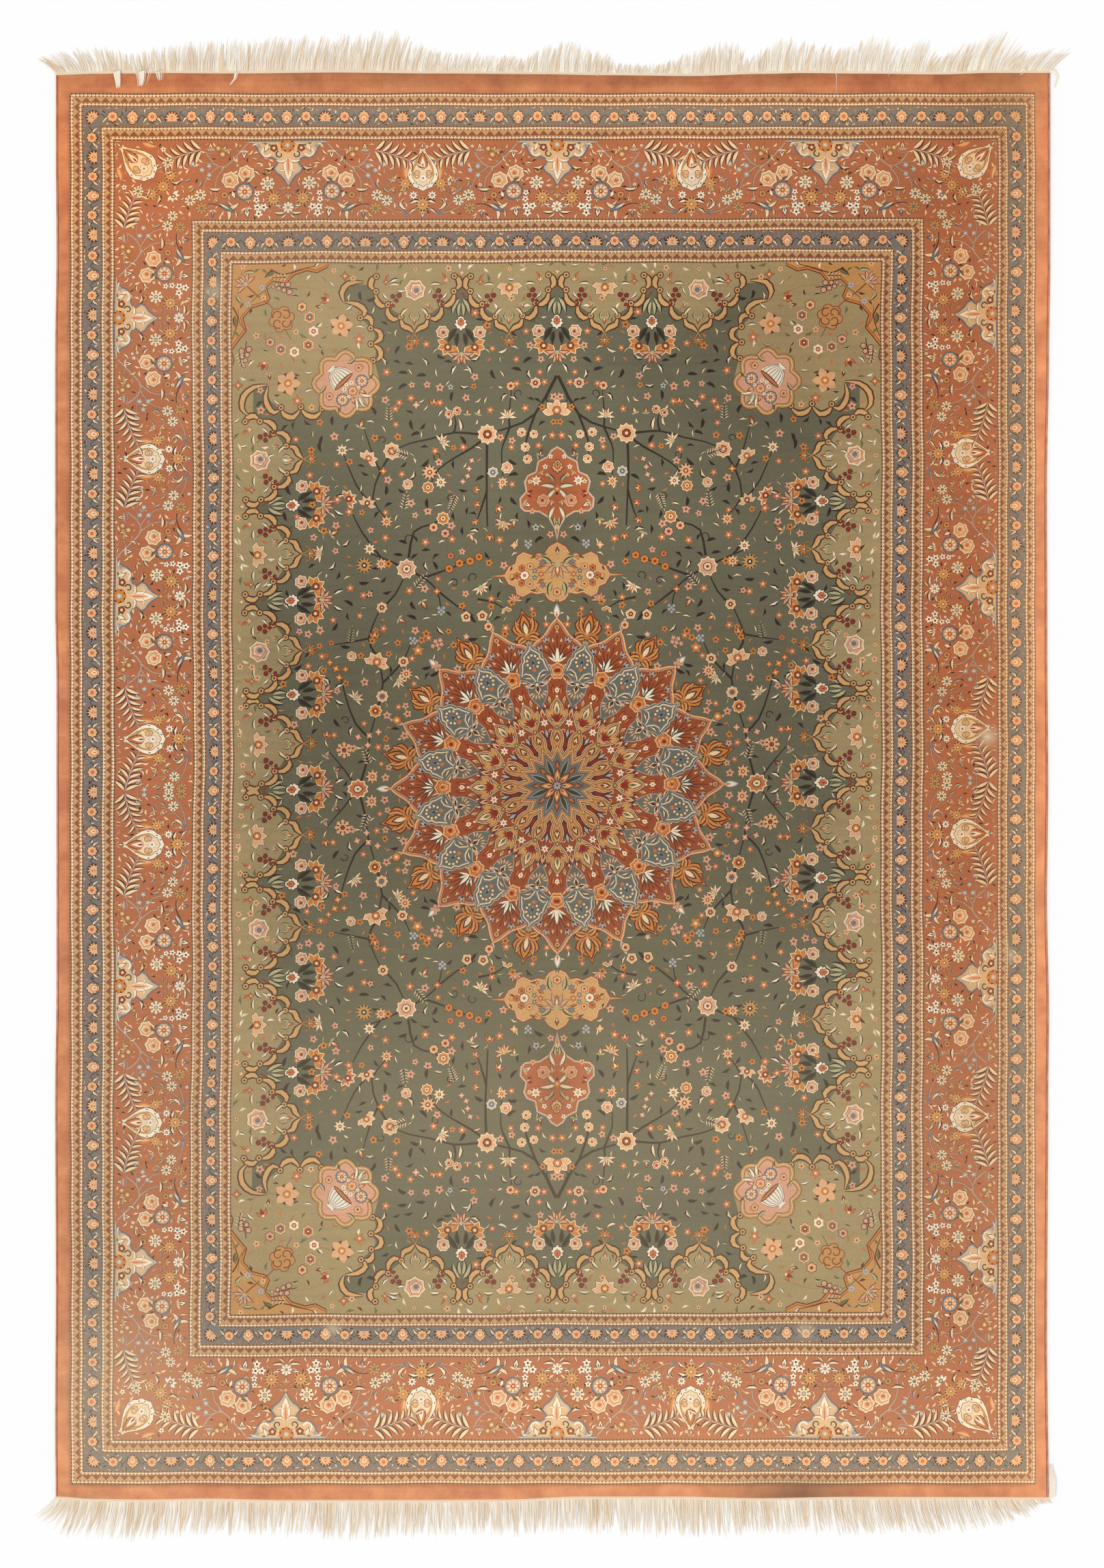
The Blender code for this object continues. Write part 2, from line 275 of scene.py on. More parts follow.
def daisy(r, silk="peach", rim="brown", eye="rust", count=8):
    layers = [(disc(r * 0.82), rim)]
    for i in range(count):
        layers += moved([(blade(r, r * 3.7 / count, fat=1.1), silk)], turn=360 / count * i)
    return layers + [(disc(r * 0.34), eye), (disc(r * 0.16), "cream")]


def dottedFlower(r, silk="cream", rim="brown", dot="dark", eye="blue", count=8):
    layers = [(scallop(r, count, 0.24), rim), (scallop(r - 0.6, count, 0.24), silk)]
    for i in range(count):
        layers += moved([(blade(r * 0.4, r * 0.2) + (0, r * 0.38), dot)], turn=360 / count * (i + 0.5))
    return layers + [(disc(r * 0.3), rim), (disc(r * 0.24), eye)]


def rose(r, silk="peach", shade="rust", rim="brown", light="cream"):
    # cream edged petals in three rounds, the inner ones set off to a side
    layers = [(scallop(r, 7, 0.16), rim), (scallop(r - 0.6, 7, 0.16), light),
              (scallop(r * 0.86 - 0.8, 7, 0.2), silk)]
    layers += [(scallop(r * 0.62, 5, 0.2) + (r * 0.1, -r * 0.05), rim),
               (scallop(r * 0.57, 5, 0.2) + (r * 0.1, -r * 0.05), light)]
    layers += [(disc(r * 0.4) + (r * 0.1, 0), silk), (disc(r * 0.24) + (r * 0.12, r * 0.05), shade)]
    return layers + [(stroke(((-r * 0.6, r * 0.3), (-r * 0.1, r * 0.66), (r * 0.5, r * 0.5)), r * 0.08, 0),
                      shade)]


def peony(r, silk="peach", shade="rust", rim="brown", light="cream"):
    # a round bloom seen from the side: edged petals fanned over a heart, two sepals under it
    layers = moved([(blade(r * 1.1, r * 0.34, -40), "sage")], y=-r * 0.5, turn=-96)
    layers += moved([(blade(r * 1.1, r * 0.34, 40), "sage")], y=-r * 0.5, turn=96)
    for turn in (-82, 82, -42, 42, 0):
        petal = [(blade(r * 1.5, r * 0.84, fat=1.4), rim), (blade(r * 1.44, r * 0.76, fat=1.4), light),
                 (blade(r * 1.3, r * 0.58, fat=1.4), silk)]
        layers += moved(petal, y=-r * 0.5, turn=turn)
    return layers + [(disc(r * 0.46) - (0, r * 0.2), rim), (disc(r * 0.4) - (0, r * 0.2), shade),
                     (disc(r * 0.2) - (0, r * 0.2), light)]


def lotus(r, silk="peach", shade="coral", rim="brown", light="cream"):
    # pointed petals spread from the foot, the middle one in front
    layers = []
    for turn in (-78, 78, -46, 46, -18, 18):
        layers += moved([(blade(r * 1.7, r * 0.62, bend=-turn * 0.3), rim)], y=-r * 0.8, turn=turn)
        layers += moved([(blade(r * 1.55, r * 0.44, bend=-turn * 0.3), silk)], y=-r * 0.76, turn=turn)
    layers += moved([(blade(r * 1.5, r * 0.6), rim), (blade(r * 1.35, r * 0.42), shade)], y=-r * 0.8)
    layers += moved([(blade(r * 0.8, r * 0.24), light)], y=-r * 0.6)
    layers += [(disc(r * 0.3) + (0, -r * 0.75), "sage")]
    return layers


def palmette(r, silk="peach", shade="rust", rim="brown", light="cream"):
    # a tall bloom with a serrated rim, a fan inside and a bud at its heart
    outline = both(((0, -r), (r * 0.35, -r * 0.85), (r * 0.45, -r * 0.5), (r * 0.85, -r * 0.35), (r * 0.7, 0),
                    (r, r * 0.3), (r * 0.7, r * 0.5), (r * 0.6, r * 0.85), (r * 0.25, r * 0.9), (0, r * 1.3)))
    layers = [(outline, rim), (outline * 0.86, silk), (outline * 0.55 - (0, r * 0.12), shade)]
    layers += [(outline * 0.43 - (0, r * 0.12), light), (blade(r * 0.5, r * 0.26) - (0, r * 0.4), shade)]
    return layers


def tulip(r, silk="blue", rim="dark", light="paleBlue", eye="dark"):
    layers = []
    for turn in (-34, 34):
        layers += moved([(blade(r * 1.7, r * 0.75), rim), (blade(r * 1.5, r * 0.52), silk)], y=-r * 0.8,
                        turn=turn)
    layers += moved([(blade(r * 1.7, r * 0.8), rim), (blade(r * 1.5, r * 0.56), light)], y=-r * 0.8)
    layers += [(disc(r * 0.26) + (0, -r * 0.45), eye)]
    return layers


def bud(r, silk="coral", rim="brown", light="cream", sepal="sage"):
    layers = moved([(blade(r * 1.1, r * 0.42, bend=24), sepal)], y=-r, turn=-52)
    layers += moved([(blade(r * 1.1, r * 0.42, bend=-24), sepal)], y=-r, turn=52)
    layers += moved([(blade(r * 2, r * 1.05, fat=0.7), rim), (blade(r * 1.75, r * 0.8, fat=0.7), silk)], y=-r)
    layers += moved([(blade(r * 1.0, r * 0.36, fat=0.7), light)], y=-r * 0.8)
    return layers


def starFlower(r, silk="paleBlue", rim="brown", eye="dark", count=5):
    return [(star(r, count, 0.52), rim), (star(r - 0.6, count, 0.52), silk), (disc(r * 0.26), eye)]


def iris(r, silk="blue", rim="dark", light="cream"):
    # a long blue throat with two pale petals curled back
    layers = []
    for way in (-1, 1):
        layers += moved([(blade(r * 1.5, r * 0.5, 50), rim), (blade(r * 1.4, r * 0.4, 50), light)], 0,
                        0, -way * 24, flip=way < 0)
    return layers + moved([(blade(r * 2, r * 0.62), rim), (blade(r * 1.9, r * 0.5), silk),
                           (blade(r * 1.2, r * 0.2), light)], y=-r)


def cross4(r, silk="orange", rim="brown", eye="cream"):
    return [(scallop(r, 4, 0.5), rim), (scallop(r * 0.82, 4, 0.5), silk), (disc(r * 0.22), eye)]


def blossom(r, silk="coral", eye="cream", count=5):
    return [(star(r, count, 0.56), silk), (disc(r * 0.3), eye)]


def leaf(r, silk="cream", shade="dark", bend=30):
    # a curved leaf from the origin with its darker half behind the vein
    whole = blade(r, r * 0.36, bend=bend)
    slim = blade(r * 0.96, r * 0.2, bend=bend)
    return [(whole, shade), (slim + (r * 0.03, 0), silk)]


def comma(r, silk="cream", shade="brown"):
    # a curled petal that starts thick and ends in a point
    return [(blade(r * 1.2, r * 0.44, 75, 0.6), shade),
            (blade(r * 1.08, r * 0.28, 75, 0.6) + (r * 0.03, r * 0.04), silk)]


def curl(r, silk="stem", width=1.6):
    # a tendril wound in at its end
    a = np.linspace(-0.4 * np.pi, 1.25 * np.pi, 7)
    grow = np.linspace(1.0, 0.36, 7) * r * 0.55
    path = np.stack((grow * np.cos(a), grow * np.sin(a)), 1)
    return [(stroke(path, width, width * 0.7, steps=2), silk)]


def spray(r, silk="cream", shade="dark", stem="stem", bend=0.0, count=5):
    # a stem bent by so many degrees, with a slim leaf to each side at every step and one at its tip
    t = np.linspace(0, 1, count + 2)
    heading = np.radians(bend) * t
    step = r * 0.86 / (count + 1)
    x, y = np.cumsum(np.sin(heading)) * step, np.cumsum(np.cos(heading)) * step
    layers = [(stroke(np.stack((x, y), 1), 1.6, 0.8, steps=1), stem)]
    for i in range(count + 1):
        size = r * (0.34 - 0.12 * t[i])
        for way in (-1, 1):
            layers += moved(leaf(size, silk, shade, 24), x[i], y[i],
                            -np.degrees(heading[i]) - way * 42, flip=way < 0)
    return layers + moved(leaf(r * 0.22, silk, shade, 0), x[-1], y[-1], turn=-bend)


def berries(r, silk="coral", rim="brown", stem="stem", count=7):
    # round berries up both sides of a stem, smaller towards the tip
    t = np.linspace(0.3, 1.0, count)
    side = np.where(np.arange(count) % 2 == 0, 1.0, -1.0)
    layers = [(stroke(((0, 0), (0, r)), 1.4, 0.8, steps=1), stem)]
    for share, way in zip(t, side):
        size = r * (0.17 - 0.08 * share)
        spot = (way * r * 0.16 * (1.25 - share), r * share)
        layers += [(disc(size) + spot, rim), (disc(size * 0.74) + spot, silk)]
    return layers


def cluster(r, silk="paleBlue", rim="dark"):
    # small five-petal florets packed together
    layers = []
    for x, y in ((-0.5, -0.3), (0.5, -0.35), (0.0, 0.1), (-0.45, 0.5), (0.5, 0.45), (0, 0.95)):
        layers += moved([(star(r * 0.5, 5, 0.56), rim), (star(r * 0.42, 5, 0.56), silk)], x * r, y * r)
    return layers


def fanShell(r, silk="peach", rim="brown", base="rust", petals=7):
    # a half round shell of petals on a small foot
    layers = [(disc(r), rim)]
    for turn in np.linspace(-84, 84, petals):
        layers += moved([(blade(r * 0.95, r * 0.36, fat=1.5), silk)], turn=turn)
    layers += [(np.array(((-r, -r * 0.3), (-r, -r * 1.1), (r, -r * 1.1), (r, -r * 0.3))), "bandGround")]
    layers += [(np.array(((-r * 0.7, -r * 0.3), (r * 0.7, -r * 0.3), (r * 0.5, 0), (-r * 0.5, 0))), silk)]
    layers += [(blade(r * 0.62, r * 0.3, fat=1.1) - (0, r * 0.2), base)]
    layers += [(disc(r * 0.12) + (0, r * 0.1), "cream")]
    return layers


def dash(r, silk="cream", bend=50.0):
    return [(blade(r, r * 0.34, bend), silk)]


motifMakers = {
    "dash": dash, "iris": iris, "ringed": ringed, "blossom": blossom,
    "rosette": rosette, "daisy": daisy, "dotted": dottedFlower, "rose": rose, "peony": peony, "lotus": lotus,
    "palmette": palmette, "tulip": tulip, "bud": bud, "star": starFlower, "cross": cross4, "leaf": leaf,
    "comma": comma, "curl": curl, "spray": spray, "berries": berries, "cluster": cluster,
}


def motifOf(kind, size, words):
    # words are the silks in their order; a number among them counts petals, leaves or berries
    counts = [word for word in words if isinstance(word, int)]
    colours = [word for word in words if isinstance(word, str)]
    extra = {"count": counts[0]} if counts else {}
    return motifMakers[kind](size, *colours, **extra)


def gardenOf(rows):
    # motifs named in a table: kind, x, y, size in knots, turn in degrees, silks; a negative size mirrors it
    layers = []
    for kind, x, y, size, turn, *words in rows:
        layers += moved(motifOf(kind, abs(size), words), x, y, turn, flip=size < 0)
    return layers


# Small leaves, buds and dots for the ground between the larger motifs, each with its share of the places.
borderSmalls = (
    ("dash", 9, 8.5, "cream"), ("dash", 5, 8.0, "dark"), ("dash", 4, 8.0, "lavender"),
    ("dash", 3, 7.0, "ochre"), ("dash", 2, 7.0, "blue"), ("comma", 3, 8.5, "cream", "brown"),
    ("cross", 2, 3.6, "ochre", "brown"), ("star", 2, 3.4, "white", "dark", "dark"),
    ("leaf", 2, 9.0, "cream", "dark"),
)
fieldSmalls = (
    ("dash", 9, 15.0, "dark"), ("leaf", 5, 12.0, "cream", "dark"), ("leaf", 3, 11.0, "sage", "dark"),
    ("dash", 3, 9.0, "coral"), ("blossom", 6, 6.2, "coral", "cream"), ("blossom", 5, 6.4, "pink", "rust"),
    ("blossom", 5, 6.0, "orange", "brown"), ("comma", 3, 13.0, "cream", "dark"),
    ("comma", 2, 13.0, "dark", "stem"), ("dash", 2, 8.0, "cream"),
)
bandSmalls = (("dash", 5, 6.6, "dark"), ("dash", 5, 6.0, "cream"), ("dash", 3, 6.0, "tan"))
cornerSmalls = (
    ("dash", 5, 11.0, "white"), ("dash", 6, 13.0, "green"), ("dash", 4, 11.0, "coral"),
    ("dash", 4, 11.0, "maroon"), ("leaf", 5, 14.0, "white", "darkGreen"),
    ("blossom", 4, 5.2, "peach", "rust"), ("dash", 3, 13.0, "tan"),
)


def within(shape, x, y):
    # whether the points lie inside the outline: an odd number of its sides passes to their right
    x, y = x[..., None], y[..., None]
    x0, y0 = shape.T
    x1, y1 = np.roll(x0, -1), np.roll(y0, -1)
    rise = np.where(y1 == y0, 1e-9, y1 - y0)
    crossed = ((y0 > y) != (y1 > y)) & (x < x0 + (x1 - x0) * (y - y0) / rise)
    return crossed.sum(-1) % 2 == 1


def painted(shape, low, size):
    # cells of a knot that lie inside the outline
    inside = np.zeros(size, bool)
    a = np.maximum(np.floor(shape.min(0) - low).astype(int), 0)
    b = np.minimum(np.ceil(shape.max(0) - low).astype(int) + 1, size)
    if (b <= a).any():
        return inside, a, b
    x, y = np.meshgrid(np.arange(a[0], b[0]) + low[0], np.arange(a[1], b[1]) + low[1], indexing="ij")
    inside[a[0]:b[0], a[1]:b[1]] = within(shape, x, y)
    return inside, a, b


def filled(layers, grounds, smalls, step, clear=2):
    # a small motif wherever the ground is bare for clear knots around, on a shaken grid
    # grounds are the numbers of the layers that count as bare ground
    zones = np.concatenate([layers[i][0] for i in grounds])
    low = zones.min(0) - 4
    size = (zones.max(0) - low + 8).astype(int)
    top = np.full(size, -1)
    for i, (shape, silk) in enumerate(layers):
        inside, a, b = painted(shape, low, size)
        window = top[a[0]:b[0], a[1]:b[1]]
        window[inside[a[0]:b[0], a[1]:b[1]]] = i
    taken = ~np.isin(top, grounds)
    for _ in range(clear):
        grown = taken.copy()
        grown[1:] |= taken[:-1]
        grown[:-1] |= taken[1:]
        grown[:, 1:] |= taken[:, :-1]
        grown[:, :-1] |= taken[:, 1:]
        taken = grown
    shares = np.array([row[1] for row in smalls], float)
    more = []
    for gx in np.arange(step / 2, size[0], step):
        for gy in np.arange(step / 2, size[1], step):
            x, y = gx + chance.uniform(-0.3, 0.3) * step, gy + chance.uniform(-0.3, 0.3) * step
            pick = smalls[chance.choice(len(smalls), p=shares / shares.sum())]
            turn = chance.uniform(0, 360)
            if x < size[0] - 1 and y < size[1] - 1 and not taken[int(x), int(y)]:
                kind, _, length, *words = pick
                motif = motifOf(kind, length * chance.uniform(0.85, 1.15), words)
                centre = np.mean([part.mean(0) for part, silk in motif], 0)
                more += moved([(part - centre, silk) for part, silk in motif], x + low[0], y + low[1], turn)
    return layers + more


# Cutting the cartoon into coloured faces and closing each zone into a tile.

def splitEdges(corners, step=16.0):
    # the closed outline through the corners with extra points at most a step apart
    corners = np.array(corners, float)
    sides = []
    for a, b in zip(corners, np.roll(corners, -1, 0)):
        count = max(1, int(np.ceil(np.hypot(*(b - a)) / step)))
        sides.append(a + (b - a) * np.linspace(0, 1, count, endpoint=False)[:, None])
    return np.concatenate(sides)


def bandOutline(index):
    # one quarter of the band between two edges of the chart, shaped like an L
    x0, x1 = chartAcross[index], chartAcross[index + 1]
    y0, y1 = chartAlong[index], chartAlong[index + 1]
    return splitEdges(((x0, 0), (x1, 0), (x1, y1), (0, y1), (0, y0), (x0, y0)))


def inlay(layers, bases, gridStep=40.0):
    # outlines are laid over each other and triangulated; a triangle takes the silk of its top outline
    outlines = []
    for shape, silk in layers:
        x, y = shape[:, 0], shape[:, 1]
        area = np.sum(x * np.roll(y, -1) - y * np.roll(x, -1))
        outlines.append(shape if area > 0 else shape[::-1])
    ends = np.cumsum([len(shape) for shape in outlines])
    starts = np.concatenate(((0,), ends[:-1]))
    low, high = outlines[0].min(0), outlines[0].max(0)
    for shape in outlines[1:bases]:
        low, high = np.minimum(low, shape.min(0)), np.maximum(high, shape.max(0))
    gx, gy = np.meshgrid(*(np.arange(low[i] + gridStep / 2, high[i], gridStep) for i in (0, 1)))
    points = np.concatenate((*outlines, np.stack((gx.ravel(), gy.ravel()), 1)))
    faces = [list(range(a, b)) for a, b in zip(starts, ends)]
    made = delaunay_2d_cdt([Vector(p) for p in points.tolist()], [], faces, 1, 1e-4, True)
    places, triangles = np.array([tuple(p) for p in made[0]]), np.array(made[2])
    middles = places[triangles].mean(1)
    ranked = np.argsort(middles[:, 0])
    x, y = middles[ranked].T
    silkOf = {name: i for i, name in enumerate(silkNames)}
    dyes = np.full(len(x), -1)
    for i, (shape, silk) in enumerate(layers):
        (left, low), (right, high) = shape.min(0), shape.max(0)
        near = np.arange(*np.searchsorted(x, (left, right)))
        near = near[(y[near] > low) & (y[near] < high)]
        near = near[within(shape, x[near], y[near])]
        dyes[near if i < bases else near[dyes[near] >= 0]] = silkOf[silk]
    kept = dyes >= 0
    return places, triangles[ranked[kept]], dyes[kept]


def openEdges(triangles):
    # directed edges that only one triangle has
    edges = np.concatenate((triangles[:, (0, 1)], triangles[:, (1, 2)], triangles[:, (2, 0)]))
    ordered = np.sort(edges, 1)
    keys = ordered[:, 0].astype(np.int64) * (ordered.max() + 1) + ordered[:, 1]
    _, first, count = np.unique(keys, return_index=True, return_counts=True)
    return edges[first[count == 1]]


def loopsOf(edges):
    # the edges chained head to tail into closed loops
    after, loops = dict(edges.tolist()), []
    while after:
        first, place = after.popitem()
        loops.append([first])
        while place != first:
            loops[-1].append(place)
            place = after.pop(place)
    return loops


def meshPiece(name, places, faces, material, smooth=False):
    # faces: index arrays of one or more sizes, each (count, corners)
    faces = faces if isinstance(faces, (list, tuple)) else [faces]
    mesh = bpy.data.meshes.new(name)
    loops = np.concatenate([f.ravel() for f in faces]).astype(np.int32)
    sizes = np.concatenate([np.full(len(f), f.shape[1]) for f in faces]).astype(np.int32)
    mesh.vertices.add(len(places))
    mesh.vertices.foreach_set("co", np.ascontiguousarray(places, np.float32).ravel())
    mesh.loops.add(len(loops))
    mesh.loops.foreach_set("vertex_index", loops)
    mesh.polygons.add(len(sizes))
    mesh.polygons.foreach_set("loop_start", (np.cumsum(sizes) - sizes).astype(np.int32))
    mesh.polygons.foreach_set("use_smooth", np.full(len(sizes), smooth))
    mesh.update(calc_edges=True)
    mesh.materials.append(material)
    piece = bpy.data.objects.new(name, mesh)
    bpy.context.scene.collection.objects.link(piece)
    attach(piece, "root")
    return piece


def keepColours(mesh, name, domain, values):
    colours = np.ones((len(values), 4), np.float32)
    colours[:, : values.shape[1]] = values
    mesh.attributes.new(name, "FLOAT_COLOR", domain).data.foreach_set("color", colours.ravel())


def closedTile(name, layers, bases, quarters, material):
    # the quarter is mirrored into its quarters and welded, then gets walls and an underside
    places, triangles, dyes = inlay(layers, bases)
    rimPoints, rimIndex = np.unique(openEdges(triangles), return_inverse=True)
    made = delaunay_2d_cdt([Vector(p) for p in places[rimPoints].tolist()], [],
                           loopsOf(rimIndex.reshape(-1, 2)), 1, 1e-6, True)
    lowPlaces = np.array([tuple(p) for p in made[0]])
    lowTriangles = np.array([face[::-1] for face, over in zip(made[2], made[5]) if over])
    corners, faces, level, silk = [], [], [], []
    for sx, sy in quarters:
        for co, tris, height, tone in ((places, triangles, 1, dyes), (lowPlaces, lowTriangles, 0, None)):
            first = sum(len(c) for c in corners)
            corners.append(co * (sx, sy))
            faces.append((tris if sx * sy > 0 else tris[:, ::-1]) + first)
            level.append(np.full(len(co), height))
            silk.append(np.zeros(len(tris), int) + dyes[0] if tone is None else tone)
    corners, faces, level, silk = (np.concatenate(part) for part in (corners, faces, level, silk))
    grid = np.round(corners * 50).astype(np.int64) + 100000
    keys = (grid[:, 0] * 1000000 + grid[:, 1]) * 2 + level
    found, first, index = np.unique(keys, return_index=True, return_inverse=True)
    flat, level, faces = corners[first], level[first], index[faces]
    whole = (faces[:, 0] != faces[:, 1]) & (faces[:, 1] != faces[:, 2]) & (faces[:, 2] != faces[:, 0])
    faces, silk = faces[whole], silk[whole]
    # slivers on an axis coincide with their mirror images: both go
    _, twin, times = np.unique(np.sort(faces, 1), axis=0, return_inverse=True, return_counts=True)
    faces, silk = faces[times[twin.ravel()] == 1], silk[times[twin.ravel()] == 1]
    rim = openEdges(faces[level[faces[:, 0]] == 1])
    below = np.searchsorted(found, found[rim] - 1)
    walls = np.stack((below[:, 0], below[:, 1], rim[:, 1], rim[:, 0]), 1)
    x, y = wovenPoint(flat[:, 0], flat[:, 1])
    z = np.where(level == 1, pileHeight(x, y), rug["baseTop"])
    piece = meshPiece(name, np.stack((x, y, z), 1), [faces, walls], material)
    silk = np.concatenate((silk, np.full(len(walls), silk[0])))
    keepColours(piece.data, "dye", "FACE", silkColours[silk])
    keepColours(piece.data, "wear", "POINT", wearAt(x, y))
    print(name, len(faces) + 2 * len(walls), "triangles", "open", len(openEdges(faces)) - len(rim) * 2)
    return piece


# Where the colours have gone, in metres from the middle of the rug.
# Columns: x, y, reach in x, reach in y, paling, darkening (less than nothing lightens), yellowing.
wornPatches = (
    # the lower half and the upper left
    (0, -0.75, 1.2, 0.45, 0.12, 0, 0.05), (-0.5, 0.95, 0.35, 0.25, 0.12, -0.02, 0.12),
    # the right side
    (0.97, 0, 0.08, 2.4, 0.14, -0.3, 0.3), (0.985, 0, 0.03, 2.4, 0, -0.38, 0),
    (0.84, 0.2, 0.12, 1.1, 0, 0.08, 0.36), (0.8, 1.2, 0.3, 0.2, 0, 0.1, 0.12),
    # the bottom end
    (0.1, -1.38, 1.3, 0.11, 0.14, -0.46, 0.2), (-0.05, -1.22, 1.3, 0.12, 0.06, -0.24, 0.04),
    # the top end
    (0, 1.34, 1.4, 0.09, 0.02, -0.16, 0.3), (0, 1.36, 1.4, 0.03, 0.08, -0.22, 0),
    (0.1, 1.43, 1.2, 0.025, 0, 0.4, 0.15), (0.93, 1.4, 0.1, 0.1, 0, 0.36, 0.1),
    # the left side and its corners
    (-1, 0, 0.04, 1.6, 0.04, -0.2, 0.12), (-0.86, -1.2, 0.16, 0.2, 0.2, -0.1, 0),
    (-0.86, 1.2, 0.2, 0.2, 0, -0.34, 0.38),
    # the middle and the field
    (0.6, 0.95, 0.4, 0.3, 0, 0.08, 0.12), (0, 0, 0.14, 0.14, 0, 0.18, 0),
    (0, 0, 0.38, 0.38, 0, 0.12, 0.2), (-0.45, 0.1, 0.2, 0.5, 0, 0.26, 0.05),
    (0.45, 0.1, 0.22, 0.5, 0, 0.26, 0.05), (0.4, 0.8, 0.3, 0.3, 0, 0.2, 0.05),
    (-0.56, 0, 0.06, 0.8, 0, 0.16, 0), (0.59, 0, 0.07, 0.8, 0, 0.1, 0), (0, 0.62, 0.3, 0.2, 0, -0.26, 0),
    (0, -0.62, 0.4, 0.2, 0, -0.28, 0.04), (0, 0.45, 0.09, 0.07, 0, 0.16, 0.16),
    (0, -0.45, 0.09, 0.07, 0, 0.16, 0.12), (0, 0.6, 0.055, 0.08, 0, 0.5, 0.24),
    (0, -0.6, 0.055, 0.08, 0, 0.54, 0.24),
    # the brown stain
    (0.49, -1.425, 0.13, 0.03, 0, 1.1, 0.1),
    # small spots
    (0.877, 0.099, 0.016, 0.016, 0.7, 0, 0), (0.921, -0.3425, 0.013, 0.013, 0.5, 0, 0),
    (0.1055, 1.311, 0.012, 0.012, 0, 0.5, 0), (-0.681, 0.996, 0.016, 0.016, 0.4, 0, 0),
    (-0.442, -1.092, 0.014, 0.014, 0.5, 0, 0), (0.511, -1.096, 0.014, 0.014, 0.5, 0, 0),
)


def wearAt(x, y):
    # each patch adds its amounts times exp(-(distance / reach)^2)
    amounts = np.zeros((len(x), 3))
    for px, py, rx, ry, *values in wornPatches:
        near = np.exp(-(((x - px) / rx) ** 2) - ((y - py) / ry) ** 2)
        amounts += near[:, None] * values
    return np.clip(amounts, (0.0, -0.8, 0.0), 1.0)


# Blue bands.

blueBand = {"step": 57.0, "fan": 11.2, "rosette": 8.6, "palmette": 10.0}


def bandStep(length):
    # from one large flower to the next: a small rosette between, leaves and a dark stem with red dots
    layers = [(stroke(((6, -9), (length * 0.25, 3), (length * 0.5, -9), (length * 0.75, 3), (length - 6, -9)),
                      1.1, 1.1), "dark")]
    layers += moved(leaf(15, "cream", "brown", 60), length * 0.25, -9, turn=-4)
    layers += moved(leaf(15, "cream", "brown", 60), length * 0.75, -9, turn=4, flip=True)
    layers += moved(leaf(10, "peach", "brown", 70), length * 0.34, 10, turn=-110, flip=True)
    layers += moved(leaf(10, "peach", "brown", 70), length * 0.66, 10, turn=110)
    for place in (0.22, 0.78):
        layers.append((disc(1.6) + (length * place, 8.6), "coral"))
    for place in (0.38, 0.62):
        layers.append((disc(1.4) + (length * place, -9.5), "peach"))
    layers += moved(rosette(blueBand["rosette"], "peach", "brown", "coral", "brown", count=8), length / 2, 0)
    return layers


def bandRun(length, firstFan):
    # large flowers in turn, a fan or a palmette, from the middle of the side to its corner
    count = round(length / blueBand["step"])
    step = length / count
    layers = []
    for i in range(count + 1):
        if i < count:
            layers += moved(bandStep(step), i * step, 0)
        if i == count:
            continue
        if (i % 2 == 0) == firstFan:
            layers += moved(fanShell(blueBand["fan"]), i * step, -3.2)
        else:
            layers += moved(palmette(blueBand["palmette"], "peach", "coral", "brown", "cream"), i * step,
                            -1.5)
    return layers


def blueBandLayers():
    layers = [(bandOutline(2), "bandGround"), (bandOutline(6), "bandGround")]
    for index, firstFan in ((2, False), (6, True)):
        middleX = (chartAcross[index] + chartAcross[index + 1]) / 2
        middleY = (chartAlong[index] + chartAlong[index + 1]) / 2
        layers += moved(bandRun(middleX, firstFan), 0, middleY)
        layers += moved(bandRun(middleY, firstFan), middleX, 0, turn=-90, flip=True)
        layers += moved(fanShell(blueBand["fan"]), middleX - 2, middleY - 2, turn=-45)
    return filled(layers, (0, 1), bandSmalls, 10.4, 1)


# Main border: a lambrequin from its outer edge, then flowers and a vine to the next heart, and mirrored.

mainBorder = {"depth": 120.0, "half": 197.0, "cornerStop": 146.0, "bloom": 1.06, "fillStep": 10.0,
              "sidePlaces": (-131.0, 77.0, 285.0, 485.0, 690.0, 890.0)}  # lambrequins and hearts in turn

